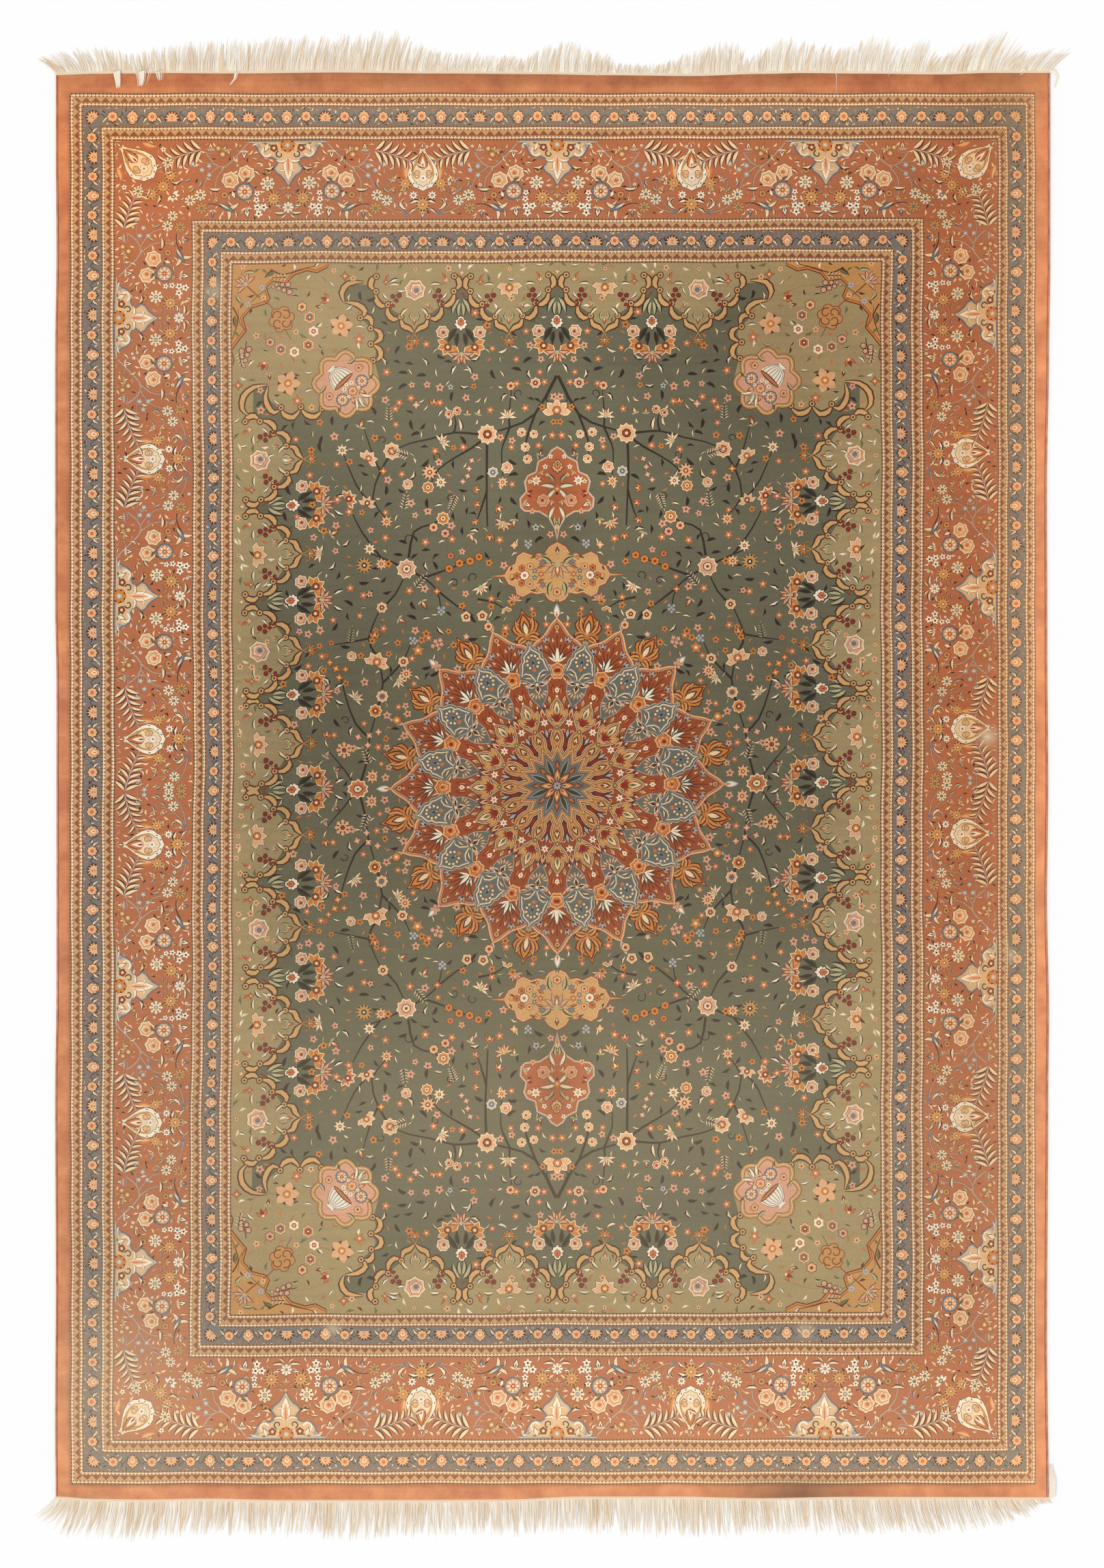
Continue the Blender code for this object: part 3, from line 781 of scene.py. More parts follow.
# Columns: kind, knots from the lambrequin's axis, knots from the border's outer edge, size, turn, colours.
borderFlowers = (
    ("dotted", 0, 102, 9, 0, "white", "brown", "blue", "ochre"), ("leaf", 4, 110, 17, -70, "cream", "dark"),
    ("leaf", 8, 104, 14, -110, "dark", "cream"), ("leaf", 2, 112, 12, -30, "cream", "dark"),
    ("cross", 0, 72, 5, 45, "ochre", "brown", "cream"), ("bud", 0, 88, 5, 0, "ochre", "brown", "cream"),
    ("leaf", 3, 78, 10, -40, "lavender", "brown"), ("leaf", 6, 74, 11, -70, "lavender", "brown"),
    ("daisy", 21.5, 88, 11.5, 0, "gold", "brown", "coral", 12), ("leaf", 9, 100, 11, -75, "white", "dark"),
    ("dotted", 30.5, 65, 11.5, 0, "cream", "brown", "brown", "paleBlue"),
    ("rosette", 29, 46, 6, 0, "ochre"), ("comma", 20, 38, 14, -20, "cream", "brown"),
    ("comma", 26, 28, 11, -60, "peach", "brown"), ("star", 43, 111, 7.2, 0, "white", "dark", "dark"),
    ("star", 35.6, 101, 7.2, 10, "white", "dark", "dark"),
    ("star", 45, 101, 7.2, 20, "white", "dark", "dark"),
    ("star", 46.5, 90, 6.2, 0, "white", "dark", "dark"),
    ("star", 45.6, 80, 5.7, 0, "white", "dark", "dark"),
    ("bud", 60, 110, 8, 10, "white", "brown", "green", "cream"), ("comma", 56, 98, 9, 20, "cream", "brown"),
    ("ringed", 63.7, 77.5, 13.5, 0, "blue"),
    ("rose", 84.7, 60, 13.5, 20, "peach", "coral", "brown", "cream"),
    ("rose", 61.4, 50, 13.5, -30, "peach", "coral", "brown", "cream"),
    ("leaf", 52, 44, 14, 78, "cream", "dark"), ("leaf", 48, 34, 12, 110, "cream", "dark"),
    ("bud", 80, 83, 6, 20, "white", "dark", "cream", "dark"),
    ("rosette", 93, 83, 6, 0, "ochre", "brown", "rust"), ("iris", 88, 103, 13, 60),
    ("leaf", 77, 106, 12, 30, "cream", "brown"), ("leaf", 80, 100, 12, -110, "cream", "brown"),
    ("bud", 110.5, 112, 6, 0, "blue", "brown", "paleBlue", "cream"),
    ("comma", 117, 108, 10, 10, "cream", "brown"), ("leaf", 98, 74, 19, -70, "cream", "dark"),
    ("dotted", 128, 103, 9.6, 0, "ochre", "brown", "rust", "blue"),
    ("dotted", 130, 83, 9.4, 0, "cream", "brown", "dark", "blue"),
    ("dotted", 144.6, 91, 9, 20, "cream", "brown", "dark", "blue"),
    ("leaf", 128, 60, 13, 0, "paleBlue", "brown"), ("leaf", 138, 70, 13, -20, "sage", "brown"),
    ("leaf", 143, 57, 12, -40, "paleBlue", "brown"), ("bud", 154, 77, 5, -30, "ochre"),
    ("bud", 155, 62, 5, -60, "ochre"), ("star", 116.5, 52.5, 5.5, 0, "paleBlue", "brown", "cream"),
    ("star", 127.7, 45, 5.5, 20, "paleBlue", "brown", "cream"),
    ("star", 116.5, 39, 5.5, 0, "paleBlue", "brown", "cream"),
    ("star", 140.6, 36, 5.5, 30, "paleBlue", "brown", "cream"),
    ("comma", 131, 30, 10, -20, "cream", "brown"), ("comma", 146, 44, 11, -70, "cream", "brown"),
    ("bud", 64, 21.5, 6.5, 0, "white", "brown", "dark", "cream"),
    ("comma", 50, 12, 12, 10, "cream", "brown"), ("bud", 86, 19, 5.5, 20, "ochre"),
    ("rosette", 95, 21, 5.5, 0, "ochre", "brown", "cream"), ("bud", 91, 10, 5, 160, "ochre"),
    ("rosette", 101, 12, 5, 0, "ochre", "brown", "cream"), ("comma", 80, 8, 9, 60, "ochre", "brown"),
    ("bud", 113, 9, 6.5, 180, "cream", "brown", "green", "paleBlue"),
    ("daisy", 197, 98, 12, 0, "gold", "brown", "coral", 12), ("leaf", 188, 103, 15, 74, "cream", "dark"),
    ("leaf", 193, 92, 16, 100, "white", "dark"), ("bud", 197, 114, 5, 0, "white", "brown", "dark"),
    ("daisy", 183.3, 84, 6.5, 0, "white", "brown", "dark"),
    ("daisy", 171, 66, 10, 0, "gold", "brown", "coral", 10), ("bud", 165, 76, 4.6, 60, "ochre"),
    ("leaf", 172, 88, 12, 60, "dark", "cream"), ("leaf", 174, 34, 26, 22, "peach", "orange"),
    ("comma", 163, 92, 16, 10, "cream", "brown"), ("disc", 172, 111, 3.4, 0, "blue"),
    ("comma", 160, 52, 10, 80, "cream", "brown"), ("leaf", 160, 20, 12, 10, "orange", "rust"),
    ("comma", 30, 112, 10, 70, "cream", "brown"), ("bud", 58, 94, 4, 0, "coral"),
    ("bud", 104, 92, 4.4, 40, "orange"), ("comma", 74, 34, 12, -100, "cream", "brown"),
    ("leaf", 66, 64, 13, 150, "green", "dark"), ("comma", 92, 36, 10, 10, "peach", "brown"),
)
# Stems: silk, width at the start and at the end, then knots along and inwards.
borderStems = (
    ("lavender", 3.0, 2.4, (59, 5), (74, 22), (92, 40), (109, 35), (121, 18)),
    ("lavender", 2.4, 1.2, (92, 40), (104, 56), (107, 74), (106, 92), (118, 102)),
    ("lavender", 2.2, 1.2, (100, 39), (112, 48), (122, 60), (126, 76)),
    ("lavender", 2.0, 1.0, (172, 111), (156, 108), (140, 99), (132, 92)),
    ("lavender", 1.6, 0.8, (172, 111), (160, 100), (150, 88), (146, 76), (144, 60)),
    ("lavender", 1.6, 0.8, (121, 18), (112, 20), (104, 15)),
    ("lavender", 1.4, 0.8, (70, 16), (80, 14), (92, 15)),
    ("brown", 1.2, 0.8, (92, 104), (106, 97), (119, 97)),
    ("lavender", 1.4, 0.8, (172, 111), (184, 109), (192, 103)),
    ("lavender", 1.6, 0.8, (109, 36), (124, 34), (136, 36)),
    ("brown", 1.2, 0.6, (61, 60), (56, 68), (58, 92)),
    ("lavender", 1.6, 0.6, (150, 95), (156, 84), (155, 70)),
    ("brown", 1.2, 0.6, (30, 60), (26, 74), (22, 84)),
)


def heart():
    # pointed towards the outer edge, a dome inside: white rim with blue dashes, two lobes and a palmette
    half = ((0, 4), (2, 11), (7, 21), (14, 31), (20, 41), (23, 52), (21, 61), (16, 67),
            (14, 72), (8, 74), (0, 78))
    outline = both(half)
    layers = rimmed(outline, (0, "brown"), (0.7, "white"), (5.6, "brown"), (0.8, "cream"))
    for spot in inset(outline, 3.2)[1::2]:
        layers += moved([(blade(4.6, 2.4), "blue")], *(spot - (0, 2)))
    for way in (-1, 1):
        layers += [(stroke(((way * 2, 20), (way * 10, 33), (way * 15, 48), (way * 10, 58), (way * 4, 54)),
                           3.6, 2.4),
                    "ochre"), (disc(4.6) + (way * 8.4, 50), "brown"), (disc(3.8) + (way * 8.4, 50), "peach")]
    layers += moved([(blade(30, 15, fat=0.6), "brown"), (blade(28, 12.6, fat=0.6), "coral"),
                     (blade(21, 7, fat=0.6), "white"), (blade(12, 3.2), "rust")], 0, 46, turn=180)
    layers += [(star(8, 8, 0.6) + (0, 58), "paleBlue"), (star(6.4, 8, 0.6) + (0, 58), "white"),
               (disc(2) + (0, 58), "coral")]
    layers += moved(moved(leaf(9, "peach", "rust", 20), turn=60), 0,
                    2) + moved(leaf(9, "peach", "rust", -20), 0, 2, turn=-60)
    return layers


def lambrequin():
    # an arch on the outer edge with two scrolls to a side, outlined in blue, a plume and a bloom inside
    half = ((61, -1), (53, 4), (46, 10), (43, 18), (38, 25), (30, 28), (24, 26),
            (19, 29), (16, 34), (18.5, 37),
            (22, 42), (19, 49), (12, 54), (7, 60), (0, 71))
    layers = rimmed(both(half), (0, "brown"), (0.4, "blue"), (2.2, "cream"), (0.8, "blue"),
                    (0.5, "lambrequinGround"))
    layers += moved([(blade(40, 15, fat=0.8), "tan"), (blade(38, 13.6, fat=0.8), "white"),
                     (blade(30, 7, fat=0.8), "peach"), (blade(24, 2), "coral")], 0, 24)
    for way in (-1, 1):
        layers += moved(leaf(17, "white", "tan", 60), way * 2, 30, turn=-way * 50, flip=way < 0)
        layers += moved(leaf(13, "white", "tan", 70), way * 2, 44, turn=-way * 34, flip=way < 0)
        layers += [(stroke(((way * 25, 20), (way * 32, 24), (way * 38, 18), (way * 34, 11)), 2.6, 1.8),
                    "white")]
        layers += moved(curl(11, "darkGreen", 2.2), way * 12, 21, flip=way < 0)
        layers += moved(rosette(6.5, "rust", "maroon", "cream", "red", 5), way * 20, 11)
        layers += moved(bud(7.5, "white", "brown", "cream", "green"), way * 31, 11, turn=-way * 20)
        layers += moved(starFlower(4.5, "paleBlue", "brown", "rust"), way * 42, 8)
        layers += moved(leaf(12, "white", "blue", 20), way * 42, 3, turn=-way * 84, flip=way > 0)
    layers += moved(daisy(13, "orange", "maroon", "paleBlue", 7), 0, 7)
    return layers


def borderHalf(length, depth, low, high, withHeart, withLambrequin):
    # the half unit stretched to this length and depth; only what lies between low and high is kept
    layers = []
    stretch = np.array((length / mainBorder["half"], depth / mainBorder["depth"]))
    for silk, startWidth, endWidth, *points in borderStems:
        path = np.array(points, float)
        if low <= path[:, 0].mean() <= high:
            layers += [(stroke(path * stretch, startWidth + 0.8, endWidth + 0.4), "brown"),
                       (stroke(path * stretch, startWidth, endWidth), silk)]
    rows = [row for row in borderFlowers if low <= row[1] <= high]
    for kind, s, t, size, turn, *words in rows:
        motif = [(disc(size), words[0])] if kind == "disc" else motifOf(kind, size, words)
        layers += moved(motif, s * stretch[0], t * stretch[1], turn, mainBorder["bloom"] * stretch[1])
    layers += moved(spray(74, "cream", "brown", "paleBlue", -16, 5), 118 * stretch[0],
                    13 * stretch[1], -80, stretch[1])
    if withHeart:
        layers += [(shape * (1, stretch[1]) + (length, 0), silk) for shape, silk in heart()]
    if withLambrequin:
        layers += [(shape * (1, stretch[1]), silk) for shape, silk in lambrequin()]
    return layers


def borderRun(halves, depth):
    # each half unit runs from a lambrequin's place to a heart's, and is cut to what lies between low and high
    layers = []
    for start, stop, low, high, withHeart, withLambrequin in halves:
        half = borderHalf(abs(stop - start), depth, low, high, withHeart, withLambrequin)
        layers += [(shape * ((1 if stop > start else -1), 1) + (start, 0), silk) for shape, silk in half]
    return layers


def mainBorderLayers():
    layers = [(bandOutline(4), "borderGround")]
    depthAcross = chartAlong[5] - chartAlong[4]
    depthAlong = chartAcross[5] - chartAcross[4]
    stop = mainBorder["cornerStop"]
    half, (below, first, second, third, fourth, last) = mainBorder["half"], mainBorder["sidePlaces"]
    # columns: a lambrequin's place, a heart's, the stretch that is kept, whether heart and lambrequin show
    across = borderRun(((0, half, 0, 200, True, True), (2 * half, half, 0, 200, False, True),
                        (2 * half, 3 * half, 0, stop, False, False)), depthAcross)
    along = borderRun(((below, first, 120, 200, False, False), (second, first, 0, 200, True, True),
                       (second, third, 0, 200, True, False), (fourth, third, 0, 200, False, True),
                       (fourth, last, 0, stop, False, False)), depthAlong)
    # both runs are drawn from the outer edge inwards
    layers += [(shape * (1, -1) + (0, chartAlong[5]), silk) for shape, silk in across]
    layers += [(shape[:, ::-1] * (-1, 1) + (chartAcross[5], 0), silk) for shape, silk in along]
    corner = (chartAcross[5], chartAlong[5])
    layers += moved(heart(), *corner, turn=135)
    for way in (-1, 1):
        flowers = [("daisy", way * 19, 92, 10, 0, "gold", "brown", "coral", 10),
                   ("dotted", way * 30, 76, 9, 0, "cream", "brown", "dark", "blue"),
                   ("leaf", way * 26, 30, 22 * way, way * -10, "peach", "orange"),
                   ("star", way * 40, 58, 5.5, 0, "white", "brown", "dark"),
                   ("comma", way * 12, 100, 14 * way, 0, "cream", "brown"),
                   ("bud", way * 36, 40, 5, 0, "ochre"),
                   ("leaf", way * 14, 84, 15 * way, -40 * way, "cream", "dark")]
        layers += moved(gardenOf(flowers), corner[0], corner[1], turn=135)
    layers += moved(daisy(11, "gold", "brown", "coral", 12), corner[0] - 68, corner[1] - 68)
    layers += moved(peony(8, "white", "blue", "brown", "cream"), corner[0] - 84, corner[1] - 84, turn=135)
    return filled(layers, (0,), borderSmalls, mainBorder["fillStep"])


# Medallion: sixteen pointed lobes, drawn once for an axis and turned; Y runs outwards from its middle.

def flame():
    # a pointed bloom of gold scrolls round a pale bud, on a knotted foot
    half = ((0, -3), (4, -1), (9, -5), (16, -4), (20, 2), (17, 6), (13, 7), (18, 12),
            (21, 19), (18, 25), (12, 25),
            (11, 31), (6, 35), (3, 40), (0, 47))
    outline = both(half)
    middle = np.array((0, 18.0))
    layers = [(outline, "maroon"), ((outline - middle) * 0.9 + middle, "orange")]
    for way in (-1, 1):
        layers += moved([(blade(21, 12, 40), "maroon"), (blade(19, 9, 40), "gold"),
                         (blade(16, 3, 40), "rust")], 0, 2,
                        -way * 84, flip=way < 0)
        layers += moved([(blade(27, 12, -20), "maroon"), (blade(25, 9, -20), "gold"),
                         (blade(21, 3, -20), "rust")],
                        way * 3, 8, -way * 36, flip=way < 0)
    layers += moved([(blade(34, 17, fat=0.9), "maroon"), (blade(31, 13, fat=0.9), "orange"),
                     (blade(23, 10, fat=0.9), "darkGreen"), (blade(19, 7, fat=0.9), "cream")], 0, 6)
    return layers + moved(starFlower(6.5, "gold", "maroon", "cream", 6), 0, -7)


def cartouche():
    half = ((0, 60), (3, 53), (8, 49), (13, 44), (13, 38), (17, 34), (18, 27), (21, 16),
            (14, 18), (8, 15), (4, 8), (0, 0))
    around = both(((0, 64), (7, 54), (13, 50), (17, 44), (17, 38), (21, 34), (22, 26), (25, 12),
                   (16, 8), (8, 2), (0, -6)))
    layers = rimmed(around, (0, "brown"), (0.6, "paleBlue"), (1.2, "teal"))
    layers += rimmed(both(half), (0, "dark"), (0.5, "cream"), (1.8, "blue"), (1.3, "teal"))
    for angle in np.linspace(-140, 140, 9):
        a = np.radians(angle)
        spot = (8.6 * np.sin(a), 34 + 10 * np.cos(a))
        layers += [(disc(2.7) + spot, "brown"), (disc(2.1) + spot, "cream")]
    layers += moved([(blade(15, 7), "blue"), (blade(11, 4), "dark"), (blade(6, 2), "paleBlue")], 0, 26)
    layers += [(disc(3.4) + (0, 22), "coral")]
    for way in (-1, 1):
        layers += moved(leaf(13, "cream", "dark", 30), way * 5, 10, turn=-way * 50, flip=way < 0)
    return layers


def trefoil():
    layers = []
    for turn, length, size in ((180, 15, 8.5), (95, 15, 7), (-95, 15, 7)):
        layers += moved([(blade(length, size, fat=0.8), "cream"),
                         (blade(length - 2.4, size - 3, fat=0.8), "maroon")],
                        0, 0, turn=turn)
    return layers + [(disc(2.6), "cream")]


def pocket():
    # grey-green pocket under a cartouche, with a fan of dashes that points to the middle
    outline = both(((0, -37), (3, -28), (7, -23), (11, -17), (14, -10), (15, -2), (13, 5), (0, 9)))
    layers = rimmed(outline, (0, "paleBlue"), (0.9, "teal"))
    for turn in np.linspace(-66, 66, 7):
        layers += moved([(blade(9, 2.8), "peach")], 7 * np.sin(np.radians(turn)),
                        -5 - 6 * np.cos(np.radians(turn)), turn=180 + turn)
    layers += moved(trefoil(), 0, 3)
    for turn in (150, 180, 210):
        layers += moved([(blade(9, 4), "dark"), (blade(7, 2), "blue")], 0, -28, turn)
    return layers


def lobe():
    # one red lobe between two cartouches: beaded rim, a fan of tulips, palmate leaf, rose and buds
    half = [(0, 248)]
    for t in np.linspace(0.08, 1, 12):
        half.append((41 * t, 246 - 46 * t + 2.4 * np.sin(t * 3 * np.pi)))
    half += [(33, 168), (0, 120)]
    layers = rimmed(both(half), (0, "maroon"), (0.6, "peach"), (2.2, "orange"), (1.2, "rust"),
                    (0.6, "paleBlue"), (0.8, "medallionGround"))
    for turn, reach in ((-22, 43), (22, 43), (-44, 38), (44, 38), (-9, 33), (9, 33),
                        (-30, 27), (30, 27), (0, 46)):
        a = np.radians(turn)
        place = (-reach * np.sin(a), 174 + reach * np.cos(a))
        layers += [(stroke(((0, 184), place), 1.6, 1.2, 1), "maroon")]
        if reach > 35 and turn:
            layers += moved(tulip(7.4, "lavender", "maroon", "paleBlue", "dark"), *place, turn=turn)
        else:
            layers += moved([(blade(12, 6.4), "maroon"), (blade(10.6, 4.2), "peach"), (blade(6, 2), "red")],
                            *place, turn=turn)
    layers += [(disc(5) + (0, 232), "maroon"), (disc(4) + (0, 232), "gold"), (disc(1.6) + (0, 232), "red")]
    for turn in (-58, 58, -30, 30, 0):
        layers += moved(leaf(17 if turn else 22, "white", "darkGreen", 0), 0, 181, turn=turn)
    return layers + moved([(blade(22, 10, fat=0.8), "paleBlue"), (blade(19, 7, fat=0.8), "white"),
                           (blade(11, 3.4, fat=0.8), "coral")], 0, 245)


def lobeFoot():
    # rose, small stars and buds between two pockets
    layers = []
    for turn in (-130, 130, -80, 80, -45, 45):
        layers += moved(leaf(12, "cream", "darkGreen", 20), 10 * -np.sin(np.radians(turn)),
                        167 + 10 * np.cos(np.radians(turn)), turn=turn)
    layers += moved(rose(14, "orange", "red", "maroon", "peach"), 0, 168)
    layers += moved(starFlower(6, "white", "maroon", "coral", 6), 0, 140)
    for way in (-1, 1):
        layers += moved(starFlower(5, "lavender", "maroon", "cream"), way * 15, 152)
        layers += moved(bud(6.6, "peach", "maroon", "coral", "green"), way * 11, 127, -way * 10)
        layers += moved(bud(6, "orange", "maroon", "cream", "green"), way * 21, 136, -way * 30)
        layers += moved(starFlower(3.6, "cream", "maroon", "rust"), way * 7, 114)
        layers += moved(bud(5.4, "coral", "maroon", "white", "dark"), way * 18, 118, -way * 20)
        layers += moved([(blade(18, 6), "red"), (blade(14, 2.6), "orange")], way * 5, 132, -way * 6)
    return layers


def goldArm():
    # gold stem from the middle star out to a spade with a red fan and a pale bud
    half = ((0, 131), (4, 124), (8, 118), (9, 110), (14, 112), (15, 104), (11, 96),
            (8, 92), (4, 87), (3.4, 83),
            (7, 79), (9, 70), (8, 62), (6, 56), (8, 50), (9, 40), (6, 30))
    layers = rimmed(both(half) * (1.1, 1.0), (-1.2, "maroon"), (0.9, "cream"), (1.0, "brown"), (0.9, "gold"))
    for turn in np.linspace(-72, 72, 7):
        layers += moved([(blade(10, 3.4), "red")], 3 * -np.sin(np.radians(turn)),
                        96 + 3 * np.cos(np.radians(turn)), turn=turn)
    layers += [(disc(5.4) + (0, 98), "red")]
    layers += moved([(blade(22, 11, fat=0.8), "brown"), (blade(20, 9, fat=0.8), "cream"),
                     (blade(14, 4.5, fat=0.9), "green")], 0, 104)
    for way in (-1, 1):
        layers += moved(leaf(11, "darkGreen", "cream", 20), way * 3, 93, turn=-way * 42, flip=way < 0)
        layers += [(stroke(((way * 2, 86), (way * 6, 76), (way * 5, 66), (way * 2, 58), (way * 4, 46)), 1.0,
                           0.8, 1), "rust")]
    layers += [(star(4.4, 4, 0.6) + (0, 85), "brown"), (star(2.6, 4, 0.6) + (0, 85), "sage")]
    layers += moved([(blade(16, 9), "maroon"), (blade(13, 6), "cream"), (blade(8, 3.4), "red")], 0, 63)
    layers += moved([(blade(11, 6), "maroon"), (blade(8, 3), "orange")], 0, 48)
    return layers + [(disc(1.8) + (0, 131), "white")]


def betweenArms():
    # what fills the red ground between two gold arms
    layers = moved([(blade(36, 17, fat=0.7), "maroon"),
                    (blade(31, 13, fat=0.7), "red"), (blade(17, 7), "dark"),
                    (blade(14, 5), "paleBlue")], 0, 85, turn=180)
    layers += moved(starFlower(7, "white", "maroon", "coral", 6), 0, 94)
    for way in (-1, 1):
        layers += moved(curl(8, "peach", 1.6), way * 6, 80, flip=way < 0)
        layers += moved(starFlower(4, "cream", "maroon"), way * 8, 103)
    return layers + moved([(blade(18, 9, fat=0.8), "maroon"), (blade(16, 7, fat=0.8), "peach"),
                           (blade(11, 3.4, fat=0.8), "red")], 0, 100)


medallionGuests = (
    ("rosette", 256, 23, 8, "peach"), ("cluster", 252, 45, 8, "pink", "brown"),
    ("rosette", 256, 67, 8, "orange", "brown", "cream"), ("blossom", 262, 8, 5, "coral"),
    ("blossom", 262, 82, 5, "coral"), ("blossom", 258, 31, 5, "pink"), ("blossom", 260, 54, 5, "orange"),
)


def medallionLayers():
    radius = medallionRadius
    turns = np.linspace(0, np.pi / 2, 33)
    rim = np.stack((radius * np.sin(turns), radius * np.cos(turns)), 1)
    layers = [(np.concatenate((((0, 0),), rim)), "fieldGround")]
    between = [11.25 + 22.5 * i for i in range(-1, 5)]
    lobes = [22.5 * i for i in range(-1, 6)]  # from -22.5 to 112.5 degrees
    for turn in between:
        layers += moved(moved(flame(), 0, 219), turn=-turn)
    for turn in lobes:
        layers += moved(lobe(), turn=-turn)
    layers.append((scallop(152, 16, 0.02), "medallionGround"))
    for turn in lobes:
        layers += moved(lobeFoot(), turn=-turn)
    for turn in between:
        layers += moved(moved(cartouche(), 0, 151), turn=-turn)
        layers += moved(moved(pocket(), 0, 148), turn=-turn)
        layers += moved(betweenArms(), turn=-turn)
    for turn in lobes:
        layers += moved(goldArm(), turn=-turn)
    layers += [(star(60, 16, 0.72), "maroon"), (star(58.6, 16, 0.72), "peach"),
               (star(54.6, 16, 0.71), "maroon"),
               (star(53, 16, 0.71), "gold"), (star(50, 16, 0.7), "maroon"), (star(48.6, 16, 0.69), "blue"),
               (star(44.5, 16, 0.66), "teal")]
    for i, turn in enumerate(lobes):
        way = np.array((np.sin(np.radians(turn)), np.cos(np.radians(turn))))
        if i % 2 == 0:
            layers += moved([(blade(29, 8), "paleBlue"), (blade(27, 6), "darkGreen")], *(way * 14),
                            turn=-turn)
        else:
            layers += moved([(blade(14, 8), "maroon"), (blade(12, 5), "coral")], *(way * 24), turn=-turn)
            layers += moved([(blade(22, 12), "maroon"), (blade(20, 9), "orange"), (blade(16, 4.6), "cream"),
                             (blade(11, 3), "rust")], *(way * 5), turn=-turn)
    layers += [(scallop(8, 8, 0.24), "maroon"), (star(7, 8, 0.6), "paleBlue"), (disc(2), "rust")]
    # flowers of the field that stand between the flames; columns: kind, knots out, degrees, size, silks
    for kind, reach, angle, size, *words in medallionGuests:
        x, y = reach * np.sin(np.radians(angle)), reach * np.cos(np.radians(angle))
        layers += moved(motifOf(kind, size, words), x, y, 180 - angle)
    return filled(layers, (0,), fieldSmalls, 14.5)


# Field with its corner pieces and lappets. Places are read off the rug's lower left quarter, in knots
# from the photograph's left and top, and turned into chart knots by fieldPlace.
fieldAxis = {"across": 816.0, "along": 1151.0, "end": 771.0}  # end: knots from the middle to its edge


def fieldPlace(px, py):
    # chart x runs to the left and y downwards there, without the slope of the woven rows
    x = fieldAxis["across"] - np.asarray(px, float)
    y = np.asarray(py, float) - fieldAxis["along"]
    y = y - sideRise * (x / chartReach[0]) * (1.0 - y / chartReach[1])
    return x, y * chartAlong[1] / fieldAxis["end"]


